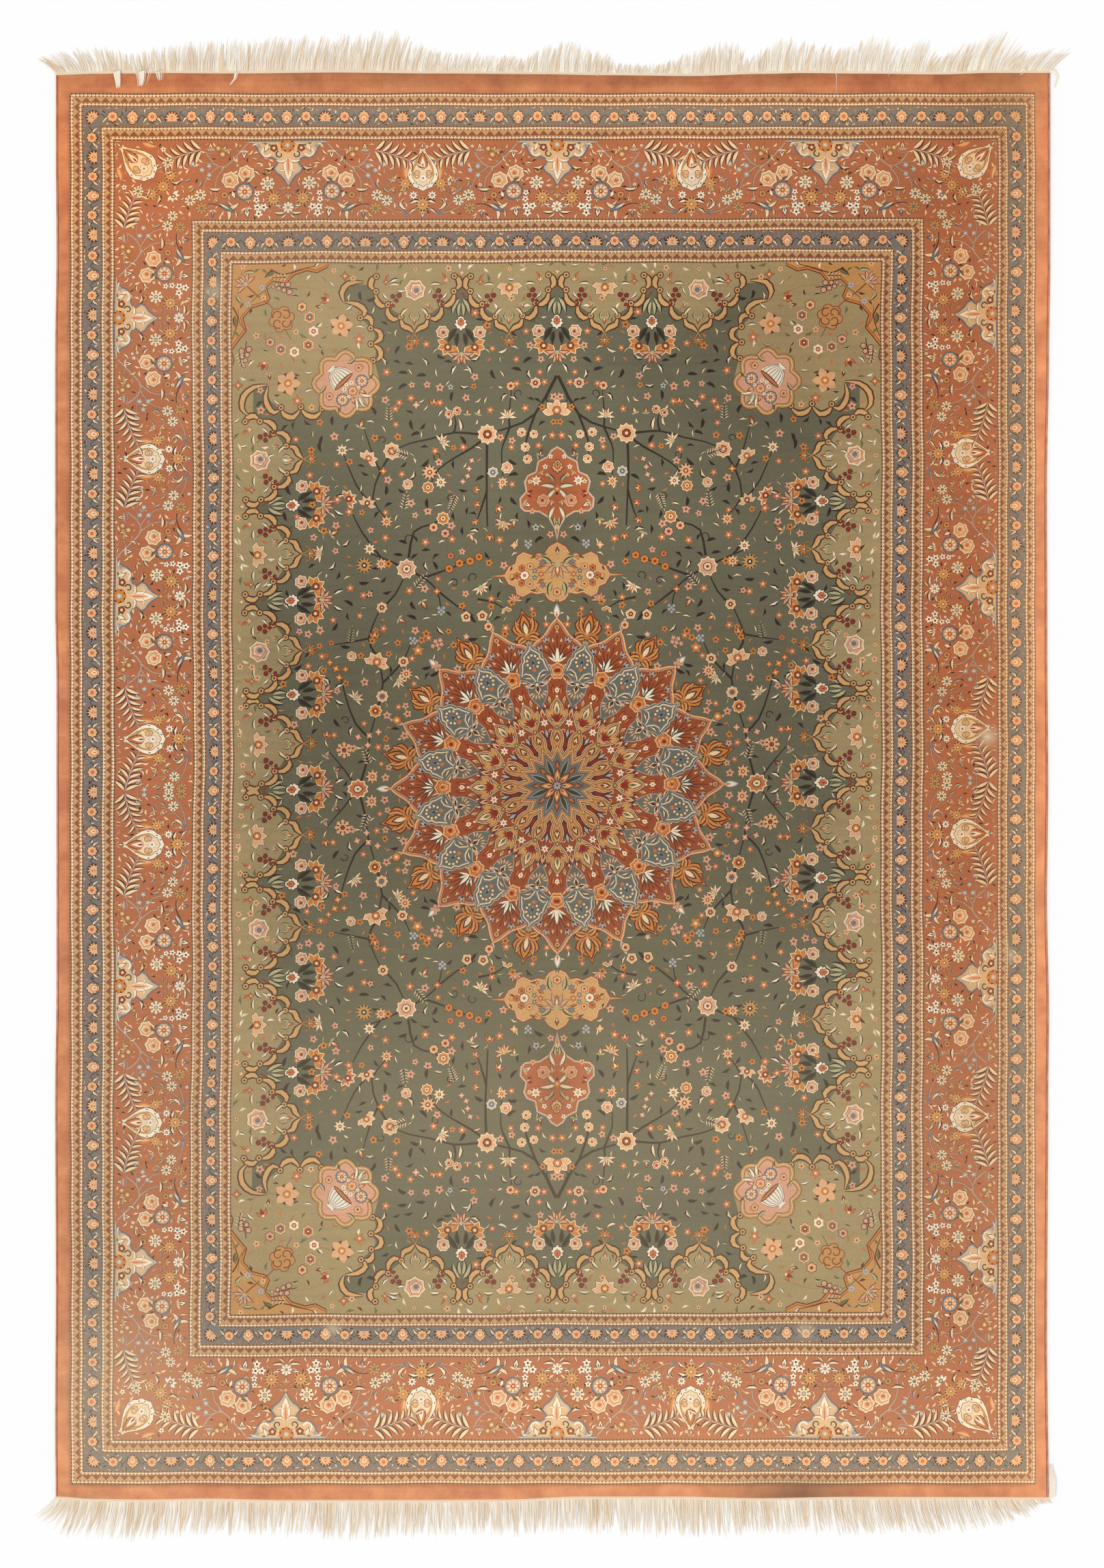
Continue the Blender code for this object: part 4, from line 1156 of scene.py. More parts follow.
# Columns: kind, across, along, size, turn, colours.
fieldFlowers = (
    ("rosette", 523, 1154, 17, 0, 10, "coral", "dark", "cream", "rust"),
    ("daisy", 544, 1173, 10.5, 0, 8, "peach", "brown", "rust"),
    ("dotted", 502, 1212, 13, 0, 8, "peach", "brown", "dark", "rust"),
    ("bud", 494, 1185, 7, 60, "red", "brown", "paleBlue"),
    ("bud", 477, 1207, 7, 30, "pink", "brown", "blue"), ("spray", 540, 1188, 26, -20, 4, "cream", "dark"),
    ("cross", 537, 1219, 7, 0, "pink"), ("cross", 523, 1231, 7, 20, "pink"),
    ("cross", 539.5, 1233, 7, 40, "pink"), ("cross", 553, 1238, 7, 0, "pink"),
    ("cross", 567, 1240, 6, 30, "pink"), ("tulip", 477, 1235, 8, 10, "coral", "brown", "peach", "rust"),
    ("rosette", 549, 1269, 11, 0, 8, "orange", "brown", "rust", "cream"),
    ("rosette", 559, 1290, 10, 0, 8, "peach", "brown", "blue", "rust"), ("star", 583, 1273, 5, 0, "peach"),
    ("star", 589, 1283, 5, 0, "peach"), ("lotus", 523, 1292, 9, 40, "cream", "coral"),
    ("cross", 495.5, 1318, 8, 10, "orange"), ("cross", 491, 1331, 8, 30, "orange"),
    ("cross", 505, 1330, 7, 0, "orange"), ("cross", 482, 1340, 7, 0, "orange"),
    ("star", 477, 1350, 5, 0, "coral"), ("peony", 552, 1343, 14, 20, "peach", "coral"),
    ("rose", 514.5, 1349, 8.5, 0, "pink", "coral"), ("star", 485, 1369, 6, 0, "coral"),
    ("spray", 512, 1366, 24, 10, 4, "sage", "dark"),
    ("tulip", 549, 1380, 9, 0, "orange", "brown", "peach", "rust"),
    ("rosette", 573, 1649, 14, 0, 8, "peach", "brown", "coral", "cream"),
    ("rosette", 714, 1672, 16, 0, 10, "peach", "brown", "rust", "cream"),
    ("peony", 816, 1707, 15, 0, "peach", "coral"),
    ("rosette", 626, 1595, 10, 0, 8, "orange", "brown", "cream", "rust"),
    ("daisy", 628, 1617, 12, 0, 10, "peach", "brown", "rust"),
    ("daisy", 644.5, 1602, 9, 0, 8, "cream", "brown", "rust"),
    ("daisy", 735.5, 1601, 8.5, 0, 8, "peach", "brown", "rust"),
    ("rose", 742, 1622, 10, 0, "pink", "coral"),
    ("rosette", 721, 1616, 9, 0, 7, "paleBlue", "brown", "blue", "cream"),
    ("cross", 677, 1603, 6, 0, "pink"), ("cross", 684, 1611, 6, 20, "pink"),
    ("cross", 686, 1622, 6, 0, "pink"), ("cross", 690, 1634, 6, 30, "pink"),
    ("rose", 772, 1633, 8, 0, "peach", "rust"), ("rose", 769, 1651, 8, 90, "peach", "rust"),
    ("rose", 764, 1673, 8, 180, "peach", "rust"), ("rose", 782, 1669.5, 7.5, 40, "peach", "rust"),
    ("bud", 792, 1643, 6, 20, "red"), ("rosette", 657.5, 1475, 7, 0, 6, "orange"),
    ("rosette", 672.6, 1483, 7.4, 0, 6, "orange"), ("rosette", 688, 1486, 7.4, 0, 6, "orange"),
    ("rosette", 701, 1492, 7, 0, 6, "orange"), ("rosette", 659.6, 1494, 6, 0, 6, "coral"),
    ("cross", 640, 1442, 8, 0, "coral"), ("bud", 622, 1422, 8, 150, "coral", "brown", "cream"),
    ("cluster", 647, 1415, 7, 180, "paleBlue"),
    ("rosette", 683.5, 1404, 9, 0, 5, "peach", "brown", "rust", "cream"),
    ("rosette", 707, 1405, 9, 0, 5, "peach", "brown", "rust", "cream"),
    ("rose", 743, 1409, 9, 0, "ochre", "rust"), ("peony", 794, 1408, 10, 30, "peach", "orange"),
    ("lotus", 707, 1442, 9, 150, "cream", "coral"), ("curl", 693, 1462, 14, 30, "dark"),
    ("curl", 665, 1454, 12, 120, "dark"), ("rosette", 635, 1536, 8, 0, 7, "peach"),
    ("rosette", 649, 1549, 11, 0, 8, "orange", "brown", "cream", "rust"),
    ("rosette", 652, 1527, 8, 0, 7, "pink"), ("bud", 691, 1520, 7, 160, "pink"),
    ("tulip", 717, 1520, 8, 180, "coral", "brown", "peach", "rust"),
    ("tulip", 696.5, 1543, 7, 150, "orange", "brown", "peach", "rust"),
    ("tulip", 699, 1569, 7, 120, "coral", "brown", "peach", "rust"),
    ("tulip", 698, 1591, 7, 90, "orange", "brown", "peach", "rust"),
    ("lotus", 735.5, 1535, 9, 200, "peach", "orange"), ("cross", 753, 1507, 8, 0, "peach"),
    ("bud", 753, 1539, 7, 180, "ochre"), ("cluster", 773.5, 1510, 7, 180, "paleBlue"),
    ("star", 785, 1532, 7, 0, "paleBlue"), ("tulip", 731, 1562, 8, 150, "coral", "brown", "cream", "rust"),
    ("spray", 668, 1586, 26, 200, 5, "cream", "dark"), ("spray", 600, 1640, 28, -70, 5, "cream", "dark"),
    ("lotus", 652, 1664, 9, 60, "cream", "coral"), ("leaf", 676, 1677, 20, 10, "cream", "dark"),
    ("bud", 685, 1706, 6, 0, "coral"), ("bud", 702, 1706, 6, 20, "peach"),
    ("rose", 658.5, 1702, 7.5, 0, "coral", "red"), ("rose", 670, 1707, 7.5, 90, "coral", "red"),
    ("lotus", 744, 1703, 9, 0, "cream", "coral"),
    ("rosette", 595, 1476, 16, 0, 9, "pink", "brown", "cream", "rust"),
    ("daisy", 533, 1482, 13, 0, 12, "ochre", "brown", "dark"),
    ("daisy", 541, 1506, 9, 0, 8, "cream", "brown", "rust"),
    ("daisy", 558, 1484, 9, 0, 8, "peach", "brown", "rust"), ("bud", 490, 1530, 8, 60, "coral"),
    ("peony", 512, 1580, 11, 60, "coral", "red"), ("peony", 538, 1575, 10, 20, "peach", "rust"),
    ("rosette", 784, 1745, 9, 0, 7, "pink"), ("rosette", 748, 1742, 8, 0, 7, "peach"),
    ("star", 660, 1742, 6, 0, "paleBlue"), ("rosette", 560, 1420, 9, 0, 7, "peach"),
    ("bud", 590, 1400, 7, 120, "coral"), ("spray", 606, 1446, 26, 40, 4, "cream", "dark"),
    ("rosette", 470, 1432, 10, 0, 8, "coral"), ("lotus", 462, 1500, 9, -80, "cream", "coral"),
    ("daisy", 566, 1546, 9, 0, 8, "peach"), ("spray", 590, 1560, 26, 10, 4, "cream", "dark"),
    ("rose", 596, 1600, 9, 0, "pink", "coral"), ("cross", 560, 1620, 8, 0, "orange"),
    ("peony", 540, 1640, 11, 40, "peach", "coral"), ("daisy", 500, 1650, 9, 0, 8, "cream"),
    ("bud", 530, 1690, 8, 20, "coral"), ("spray", 570, 1690, 24, 0, 4, "cream", "dark"),
    ("tulip", 636, 1720, 8, 0, "orange", "brown", "peach", "rust"), ("cross", 610, 1716, 8, 0, "pink"),
    ("rosette", 590, 1340, 9, 0, 7, "peach"), ("cluster", 604, 1370, 7, 90, "paleBlue"),
    ("lotus", 588, 1310, 9, 120, "cream", "orange"), ("star", 466, 1290, 6, 0, "coral"),
    ("bud", 460, 1175, 7, 100, "peach"), ("cluster", 640, 1362, 10, 30, "pink", "brown"),
    ("blossom", 628, 1374, 6, 0, "coral"), ("daisy", 594, 1322, 10, 0, 10, "peach", "brown", "rust"),
    ("blossom", 612, 1356, 9, 0, "orange", "cream"), ("blossom", 566, 1262, 7, 0, "pink", "rust"),
    ("lotus", 754, 1432, 8, 0, "pink", "coral"), ("blossom", 720, 1430, 6, 0, "coral"),
    ("leaf", 640, 1390, 16, 160, "cream", "dark"), ("leaf", 570, 1216, 16, 100, "cream", "dark"),
    ("leaf", 470, 1275, 16, 30, "cream", "dark"), ("curl", 560, 1200, 12, 0, "dark"),
    ("curl", 505, 1255, 12, 90, "dark"), ("curl", 600, 1520, 14, 40, "dark"),
    ("curl", 540, 1440, 13, 200, "dark"), ("curl", 640, 1640, 12, 10, "dark"),
    ("curl", 760, 1730, 14, 0, "dark"), ("curl", 560, 1665, 12, 60, "dark"),
    ("curl", 660, 1580, 10, 10, "dark"),
)
# Stems: silk, width at the start and end, then places.
fieldStems = (
    (3.2, 1.4, (815, 1755), (784, 1699), (747, 1681), (716, 1674)),
    (2.4, 1.0, (784, 1699), (771, 1662), (770, 1640)),
    (2.2, 1.0, (712, 1672), (695, 1673), (665, 1675), (630, 1666), (600, 1660), (575, 1650)),
    (2.2, 1.0, (712, 1668), (690, 1652), (665, 1638), (641, 1621), (630, 1600)),
    (1.8, 0.8, (747, 1681), (739, 1662), (734, 1645), (736, 1604)),
    (2.4, 1.6, (713, 1664), (712, 1610), (714, 1536)), (1.8, 0.8, (713, 1590), (704, 1560), (698, 1545)),
    (2.2, 1.0, (598, 1492), (606, 1530), (630, 1540), (648, 1548)),
    (2.0, 1.0, (595, 1476), (620, 1462), (640, 1444), (646, 1420)),
    (2.0, 1.0, (620, 1462), (655, 1474), (700, 1492)), (2.2, 1.0, (595, 1476), (566, 1490), (540, 1500)),
    (2.0, 0.8, (560, 1490), (530, 1530), (510, 1570)),
    (2.0, 1.0, (575, 1650), (556, 1620), (545, 1580), (566, 1550)),
    (2.4, 1.0, (523, 1154), (534, 1190), (540, 1230), (552, 1270)),
    (2.2, 1.0, (540, 1230), (520, 1250), (505, 1290), (497, 1325)),
    (2.2, 1.0, (552, 1270), (560, 1310), (552, 1345)),
    (2.0, 0.8, (560, 1310), (580, 1330), (592, 1345), (602, 1368)),
    (2.2, 1.0, (550, 1350), (540, 1375), (556, 1415)), (1.6, 0.8, (540, 1375), (515, 1370), (490, 1366)),
    (2.0, 1.0, (556, 1415), (580, 1440), (594, 1470)), (1.8, 0.8, (523, 1154), (505, 1180), (480, 1210)),
    (1.8, 0.8, (640, 1444), (670, 1420), (695, 1406)), (1.6, 0.8, (700, 1430), (725, 1424), (743, 1411)),
    (1.8, 0.8, (815, 1755), (800, 1720), (816, 1710)), (1.8, 0.8, (747, 1681), (746, 1700), (750, 1740)),
    (1.8, 0.8, (665, 1675), (668, 1690), (664, 1703)), (1.8, 0.8, (540, 1575), (520, 1600), (500, 1648)),
    (1.8, 0.8, (556, 1620), (546, 1640), (532, 1686)),
)


def fieldRow(rows):
    layers = []
    for kind, px, py, size, turn, *words in rows:
        x, y = fieldPlace(px, py)
        layers += moved(motifOf(kind, size, words), float(x), float(y), turn)
    return layers


def placedOutline(points):
    return np.stack(fieldPlace(*np.array(points, float).T), 1)


# Lappets that point into the field from its edges.
# Columns: knots from the lappet's axis, knots from the edge.
lappetBody = ((0, 101), (3, 95), (9, 89), (19, 80), (24, 72), (33, 66), (39, 60), (46, 55), (54, 48),
              (58, 39), (61, 31), (71, 29))
lappetScrolls = (
    ((56, 16), (63, 22), (65, 32), (58, 39)), ((58, 40), (56, 53), (48, 61), (39, 60)),
    ((39, 60), (39, 72), (30, 81), (20, 77)), ((20, 78), (17, 90), (8, 94), (0, 102)),
)
lappetLoops = ((57, 18), (57, 40), (39, 59), (20, 77))
sideFinials = (1223.5, 1359.0, 1500.0, 1638.0)
endFinials = (746.0, 608.0)
sideCusps = (1157.0, 1295.0, 1432.0, 1571.0)
endCusps = (816.0, 676.0)
# Corner piece, read in the photograph's places: its outline, its scrolls and the ochre wedge in the corner.
cornerBody = (
    (330, 1741), (367, 1741), (392, 1746), (391, 1737), (397, 1724), (406, 1716), (412, 1711), (425, 1704),
    (441, 1712), (455, 1704), (472, 1709), (500, 1712), (556, 1752), (549, 1780), (552, 1800), (546, 1808),
    (551, 1818), (546, 1828), (531, 1842), (533, 1852), (518, 1864), (505, 1868), (507, 1884), (518, 1893),
    (540, 1893), (540, 1930), (330, 1930),
)
cornerScrolls = (
    ((412, 1712), (417, 1703), (430, 1699), (441, 1711)),
    ((441, 1712), (449, 1702), (462, 1699), (472, 1708)),
    ((412, 1712), (402, 1707), (393, 1716), (389, 1730), (393, 1746)),
    ((364, 1704), (355, 1714), (357, 1732), (372, 1745), (393, 1748)),
    ((549, 1780), (558, 1788), (556, 1799), (546, 1806)),
    ((546, 1806), (558, 1813), (557, 1824), (546, 1829)),
    ((546, 1829), (545, 1841), (538, 1846), (530, 1842)),
    ((530, 1843), (536, 1854), (524, 1864), (505, 1867)),
    ((505, 1867), (501, 1880), (510, 1894), (533, 1897)),
)
cornerLoops = ((412, 1714), (441, 1714), (472, 1711), (547, 1782), (544, 1806), (544, 1829), (529, 1844))
cornerWedge = (
    (330, 1766), (338, 1768), (344, 1784), (341, 1799), (353, 1815), (363, 1827), (358, 1846), (370, 1860),
    (392, 1866), (397, 1874), (391, 1890), (400, 1898), (420, 1895), (430, 1906), (449, 1912), (464, 1909),
    (480, 1917), (482, 1930), (330, 1930),
)
cornerStems = (
    ("rust", 2.2, 1.2, (358, 1896), (378, 1878), (394, 1866), (404, 1856)),
    ("rust", 1.6, 1.0, (404, 1856), (420, 1826), (428, 1812)),
    ("rust", 1.6, 0.8, (362, 1827), (352, 1840), (350, 1860)),
    ("coral", 2.0, 1.0, (420, 1895), (404, 1906), (392, 1918)),
    ("tan", 1.2, 0.8, (392, 1746), (412, 1750), (428, 1752)),
    ("tan", 1.2, 0.8, (462, 1824), (480, 1830), (500, 1834)),
    ("tan", 1.2, 0.8, (360, 1800), (366, 1780), (376, 1752)),
    ("tan", 1.2, 0.8, (430, 1890), (455, 1888), (490, 1874)),
    ("green", 1.8, 0.8, (378, 1878), (368, 1868), (364, 1852)),
    ("green", 1.8, 0.8, (378, 1878), (392, 1888), (408, 1892)),
    ("maroon", 2.4, 1.0, (342, 1862), (350, 1846), (346, 1828), (340, 1812)),
    ("maroon", 2.4, 1.0, (396, 1916), (414, 1908), (436, 1914), (462, 1920)),
)

# Motifs of a lappet round its axis at the field's edge, and of a bay from its cusp, both with the field up.
lappetFlowers = (
    ("berries", -24, 36, 30, 20, "red", "maroon", "green", 6),
    ("berries", 26, 34, 30, -30, "red", "maroon", "green", 6),
    ("leaf", -10, 64, 18, 60, "cream", "darkGreen"), ("leaf", 10, 64, -18, -60, "cream", "darkGreen"),
    ("leaf", -22, 30, 17, 110, "cream", "darkGreen"), ("leaf", 22, 30, -17, -110, "cream", "darkGreen"),
    ("leaf", -48, 42, 14, -20, "white", "brown"), ("leaf", 48, 42, -14, 20, "white", "brown"),
    ("leaf", -5, 70, 14, 24, "sage", "darkGreen"), ("leaf", 5, 70, -14, -24, "sage", "darkGreen"),
    ("bud", 0, 84, 6, 0, "coral"), ("cross", -43, 26, 6, 0, "coral"), ("cross", 45, 24, 6, 0, "peach"),
    ("bud", -34, 58, 5, 30, "red"), ("leaf", -38, 14, 14, 50, "coral", "rust"),
    ("leaf", 38, 12, -14, -50, "coral", "rust"), ("dash", -12, 12, 12, 60, "cream"),
    ("dash", 14, 10, 12, -70, "cream"), ("star", 0, 8, 5, 0, "peach"), ("bud", 20, 62, 5, -20, "coral"),
)
bayFlowers = (
    ("leaf", 0, 26, 14, 0, "orange", "brown"), ("cross", 0, 13, 5.5, 0, "peach"),
    ("dash", 0, 40, 13, 0, "rust"), ("leaf", -3, 50, 26, 44, "sage", "dark"),
    ("leaf", 3, 50, -26, -44, "sage", "dark"), ("leaf", -2, 56, 22, 24, "sage", "dark"),
    ("leaf", 2, 56, -22, -24, "sage", "dark"), ("leaf", -6, 94, 26, 50, "dark", "darkGreen"),
    ("leaf", 6, 94, -26, -50, "dark", "darkGreen"), ("leaf", -4, 100, 22, 26, "dark", "darkGreen"),
    ("leaf", 4, 100, -22, -26, "dark", "darkGreen"),
    ("palmette", 0, 86, 11, 0, "white", "rust", "dark", "coral"),
    ("rose", -27, 100, 11, 0, "pink", "rust", "dark"), ("rose", 27, 100, 11, 0, "pink", "rust", "dark"),
    ("leaf", -30, 88, 14, 140, "green", "dark"), ("leaf", 30, 88, -14, -140, "green", "dark"),
    ("peony", -21, 124, 13, 30, "orange", "rust"), ("peony", 21, 124, 13, -30, "orange", "rust"),
    ("leaf", -33, 122, 14, 70, "sage", "dark"), ("leaf", 33, 122, -14, -70, "sage", "dark"),
    ("leaf", -8, 148, 16, 50, "white", "dark"), ("leaf", 8, 148, -16, -50, "white", "dark"),
    ("lotus", 0, 140, 11, 0, "pink", "coral", "brown", "peach"),
)
cornerFlowers = (
    ("lotus", 354, 1901, 11, -45, "pink", "peach", "brown", "paleBlue"),
    ("leaf", 346, 1880, 18, 160, "sage", "darkGreen"), ("leaf", 374, 1912, 18, -70, "sage", "darkGreen"),
    ("leaf", 346, 1850, 18, 200, "green", "dark"), ("leaf", 404, 1914, 20, -100, "green", "dark"),
    ("star", 364, 1866, 7, 0, "paleBlue", "brown", "coral", 6),
    ("star", 384, 1890, 7, 0, "paleBlue", "brown", "coral", 6), ("rosette", 396.6, 1810, 8, 0, 6, "pink"),
    ("rosette", 412, 1799, 9.4, 0, 6, "coral", "brown", "blue"),
    ("rosette", 432, 1794.7, 9, 0, 6, "white", "rust", "coral"),
    ("rosette", 452.5, 1804, 9.6, 0, 6, "coral"),
    ("rosette", 460.6, 1824, 9, 0, 6, "white", "rust", "coral"),
    ("rosette", 455, 1844.7, 9.6, 0, 6, "coral", "brown", "blue"),
    ("rosette", 443.4, 1860, 8.6, 0, 6, "peach"), ("leaf", 384, 1800, 12, 130, "dark", "sage"),
    ("leaf", 466, 1806, 12, 160, "dark", "sage"), ("leaf", 470, 1838, 12, -120, "dark", "sage"),
    ("leaf", 440, 1876, 14, -60, "dark", "sage"),
    ("daisy", 422, 1749, 19, 20, 5, "peach", "brown", "orange"),
    ("daisy", 501, 1832, 18, 10, 5, "peach", "brown", "orange"),
    ("tulip", 386, 1776, 9, 200, "coral", "rust", "red", "cream"),
    ("tulip", 477, 1871, 9, -70, "coral", "rust", "red", "cream"), ("berries", 362, 1812, 36, 190, "pink"),
    ("berries", 436, 1886, 36, -80, "pink"), ("cross", 349, 1748, 8, 0, "coral"),
    ("cross", 505, 1905, 8, 0, "coral"), ("star", 436, 1723, 9, 0, "coral", "brown", "cream"),
    ("star", 527, 1813, 9, 0, "coral", "brown", "cream"),
    ("spray", 350, 1800, 24, 170, "cream", "green", 3), ("spray", 424, 1904, 24, -90, "cream", "green", 3),
    ("bud", 395, 1760, 6, 170, "red"), ("bud", 468, 1860, 6, -80, "red"),
    ("leaf", 476, 1770, 16, 120, "cream", "green"), ("leaf", 500, 1800, 14, 100, "sage", "darkGreen"),
)


def scrolls(paths, loops, grow=7.0):
    # acanthus crescents with a brown edge and thorns, curled round at their ends
    layers = []
    for path in paths:
        path = np.array(path, float)
        bulge = path[1:-1].mean(0) - (path[0] + path[-1]) / 2
        bulge /= max(np.hypot(*bulge), 1e-6)
        for place in path[1:-1]:
            thorn = np.array((place + (-bulge[1], bulge[0]), place - (-bulge[1], bulge[0]),
                              place + bulge * (grow * 0.5 + 4.2)))
            layers.append((thorn, "brown"))
        layers += [(stroke(path, 3.2, 3.2, 2, grow + 1.6), "brown"),
                   (stroke(path, 0.8, 0.8, 2, grow - 1.0), "straw")]
    for place in loops:
        layers += [(disc(5.6) + place, "brown"), (disc(4.0) + place, "straw"), (disc(2.0) + place, "brown")]
    return layers


def lappet():
    # one lappet on the field's edge, its tip to +Y: body, scrolls, a pair of curls and a bud at the tip
    layers = []
    for way in (-1, 1):
        paths = [np.array(path) * (way, 1) for path in lappetScrolls]
        layers += scrolls(paths, [np.array(loop) * (way, 1) for loop in lappetLoops])
        layers += [(stroke(((0, 100), (way * 3, 108), (way * 9, 112), (way * 11, 106)), 2.6, 1.8), "brown"),
                   (stroke(((0, 100), (way * 3, 108), (way * 9, 112), (way * 11, 106)), 1.4, 1.0), "ochre")]
    layers += moved(lotus(6.5, "orange", "red", "brown", "peach"), 0, 117)
    return layers


def cornerCartouche():
    # an eight-lobed shield with a striped vase of flowers; its top points to the middle of the rug
    layers = rimmed(scallop(51, 8, 0.17), (0, "brown"), (0.8, "ochre"), (2.6, "cream"), (0.8, "ochre"),
                    (2.4, "brown"), (0.7, "pink"))
    for turn in np.arange(0, 360, 22.5):
        layers += moved([(disc(1.3) + (0, 46), "coral")], turn=turn)
    layers += moved(leaf(20, "sage", "darkGreen", 0), 0,
                    24) + moved(leaf(18, "white", "green", 20), 0, 26, 30)
    for way in (-1, 1):
        layers += moved(leaf(18, "white", "green", 20), way * 4, 26, -way * 26, flip=way < 0)
        layers += moved(leaf(17, "sage", "darkGreen", 30), way * 22, -20, -way * 60, flip=way < 0)
        layers += moved(ringed(10, "blue", "cream", "coral"), way * 20,
                        13) + moved(curl(9, "coral", 1.4), way * 33, -2)
        layers += moved(starFlower(5.4, "white", "brown", "rust", 6), way * 7,
                        4) + moved(rosette(6, "peach", count=6), way * 30, -4)
        layers += moved(bud(6, "coral", "brown", "cream", "green"), way * 10, 26, -way * 20)
        layers += moved(starFlower(4, "white", "brown", "rust"), way * 10,
                        16) + moved(leaf(12, "green", "dark", 20), way * 28, 18, -way * 80)
    layers += moved(rosette(8, "peach", "brown", "coral", count=7), 0,
                    14) + moved(starFlower(5, "white", "brown", "coral", 6), 0, 1)
    bowl = both(((19, -5), (17, -16), (11, -25), (5, -29), (8, -33), (0, -33)))
    layers += rimmed(bowl, (0, "dark"), (0.7, "white"))
    for lean in np.linspace(-1, 1, 7):
        layers.append((stroke(((lean * 16, -7), (lean * 13, -18), (lean * 5, -28)), 1.2, 0.8), "blue"))
    return layers + [(disc(18.5, 0.2) + (0, -5), "dark"), (disc(17, 0.13) + (0, -5), "coral")]


def axisCartouche():
    # peach shield on the long axis with its bell pendant, drawn from the medallion outwards
    shield = placedOutline(((816, 1418), (803, 1424), (796, 1434), (787, 1432), (778, 1435), (766, 1429),
                            (756, 1434), (753, 1445),
                            (744, 1449), (738, 1460), (717, 1463), (738, 1466), (744, 1477), (753, 1481),
                            (756, 1492), (766, 1498),
                            (778, 1493), (787, 1495), (796, 1494), (803, 1504), (816, 1511)))
    whole = np.concatenate((shield, shield[-2:0:-1] * (-1, 1)))
    layers = rimmed(whole, (0, "brown"), (0.6, "coral"), (2.0, "cream"), (1.2, "brown"), (0.5, "straw"))
    bell = placedOutline(((816, 1511), (811, 1530), (802, 1545), (790, 1553), (768, 1555), (761, 1562),
                          (760, 1576), (769, 1586),
                          (766, 1600), (771, 1610), (783, 1615), (786, 1630), (800, 1637),
                          (806, 1646), (816, 1652)))
    whole = np.concatenate((bell, bell[-2:0:-1] * (-1, 1)))
    layers += rimmed(whole, (0, "brown"), (0.6, "paleBlue"), (1.4, "peach"), (1.8, "brown"), (0.5, "brick"))
    contents = (
        ("lotus", 816, 1466, 14, 180, "pink", "coral", "green", "white"),
        ("leaf", 808, 1452, 22, -150, "sage", "darkGreen"),
        ("leaf", 808, 1476, 22, -34, "sage", "darkGreen"),
        ("leaf", 814, 1426, 14, -170, "green", "darkGreen"), ("rosette", 816, 1436, 7, 0, "peach", 6),
        ("bud", 816, 1497, 7, 0, "rust"), ("rosette", 768, 1462, 8, 0, 8, "white", "brown", "coral"),
        ("rosette", 757, 1462, 5.6, 0, "coral", 6), ("rosette", 764, 1451, 5.6, 0, "coral", 6),
        ("rosette", 764, 1473, 5.6, 0, "coral", 6), ("rosette", 776, 1449, 5.6, 0, "peach", 6),
        ("rosette", 776, 1475, 5.6, 0, "peach", 6), ("star", 783, 1458, 5, 0, "blue", "brown", "cream"),
        ("star", 783, 1468, 5, 0, "blue", "brown", "cream"),
        ("star", 795, 1447, 6.4, 0, "blue", "brown", "coral", 6),
        ("star", 794, 1480, 6.4, 0, "blue", "brown", "coral", 6),
        ("star", 792, 1463, 6, 0, "coral", "brown", "cream", 6),
        ("leaf", 776, 1440, 13, 110, "green", "dark"), ("leaf", 776, 1486, 13, 70, "green", "dark"),
        ("dash", 746, 1456, 10, 100, "brown"), ("dash", 746, 1469, 10, 60, "brown"),
        ("curl", 750, 1462, 8, 0, "coral"), ("dash", 800, 1436, 12, -120, "green"),
        ("dash", 802, 1492, 12, -60, "green"), ("leaf", 798, 1456, 14, -100, "coral", "brown"),
        ("leaf", 798, 1474, 14, -80, "coral", "brown"), ("cross", 786, 1440, 4.4, 0, "coral"),
        ("cross", 786, 1488, 4.4, 0, "coral"), ("leaf", 812, 1548, 18, 190, "sage", "darkGreen"),
        ("leaf", 812, 1562, 22, -140, "white", "green"), ("leaf", 816, 1544, 22, 180, "white", "green"),
        ("star", 816, 1532, 5, 0, "cream", "brown", "rust"), ("leaf", 814, 1590, 24, -62, "white", "green"),
        ("leaf", 814, 1588, 24, -122, "white", "green"), ("leaf", 816, 1592, 22, 180, "peach", "maroon"),
        ("leaf", 812, 1598, 18, -20, "sage", "darkGreen"), ("blossom", 816, 1588, 7, 0, "orange", "cream"),
        ("rose", 796, 1571, 11, 0, "pink", "rust", "maroon", "peach"),
        ("blossom", 780, 1556, 5, 0, "peach", "rust"), ("bud", 808, 1566, 5, 200, "peach", "maroon"),
        ("bud", 773, 1566, 7, 120, "white", "maroon", "green"),
        ("tulip", 776, 1582, 6, 100, "red", "maroon", "coral", "cream"),
        ("palmette", 816, 1622, 10, 180, "peach", "maroon", "maroon", "gold"),
        ("daisy", 785, 1601, 8, 0, 7, "white", "maroon", "ochre"),
        ("star", 798, 1621, 5.4, 0, "white", "maroon", "rust"),
        ("star", 806, 1636, 5, 0, "white", "maroon", "rust"),
        ("star", 776, 1600, 5, 0, "cream", "maroon", "rust"), ("bud", 794, 1610, 5, 150, "gold", "maroon"),
        ("star", 801, 1609, 4, 0, "cream", "maroon"),
    )
    return layers + fieldRow(contents)


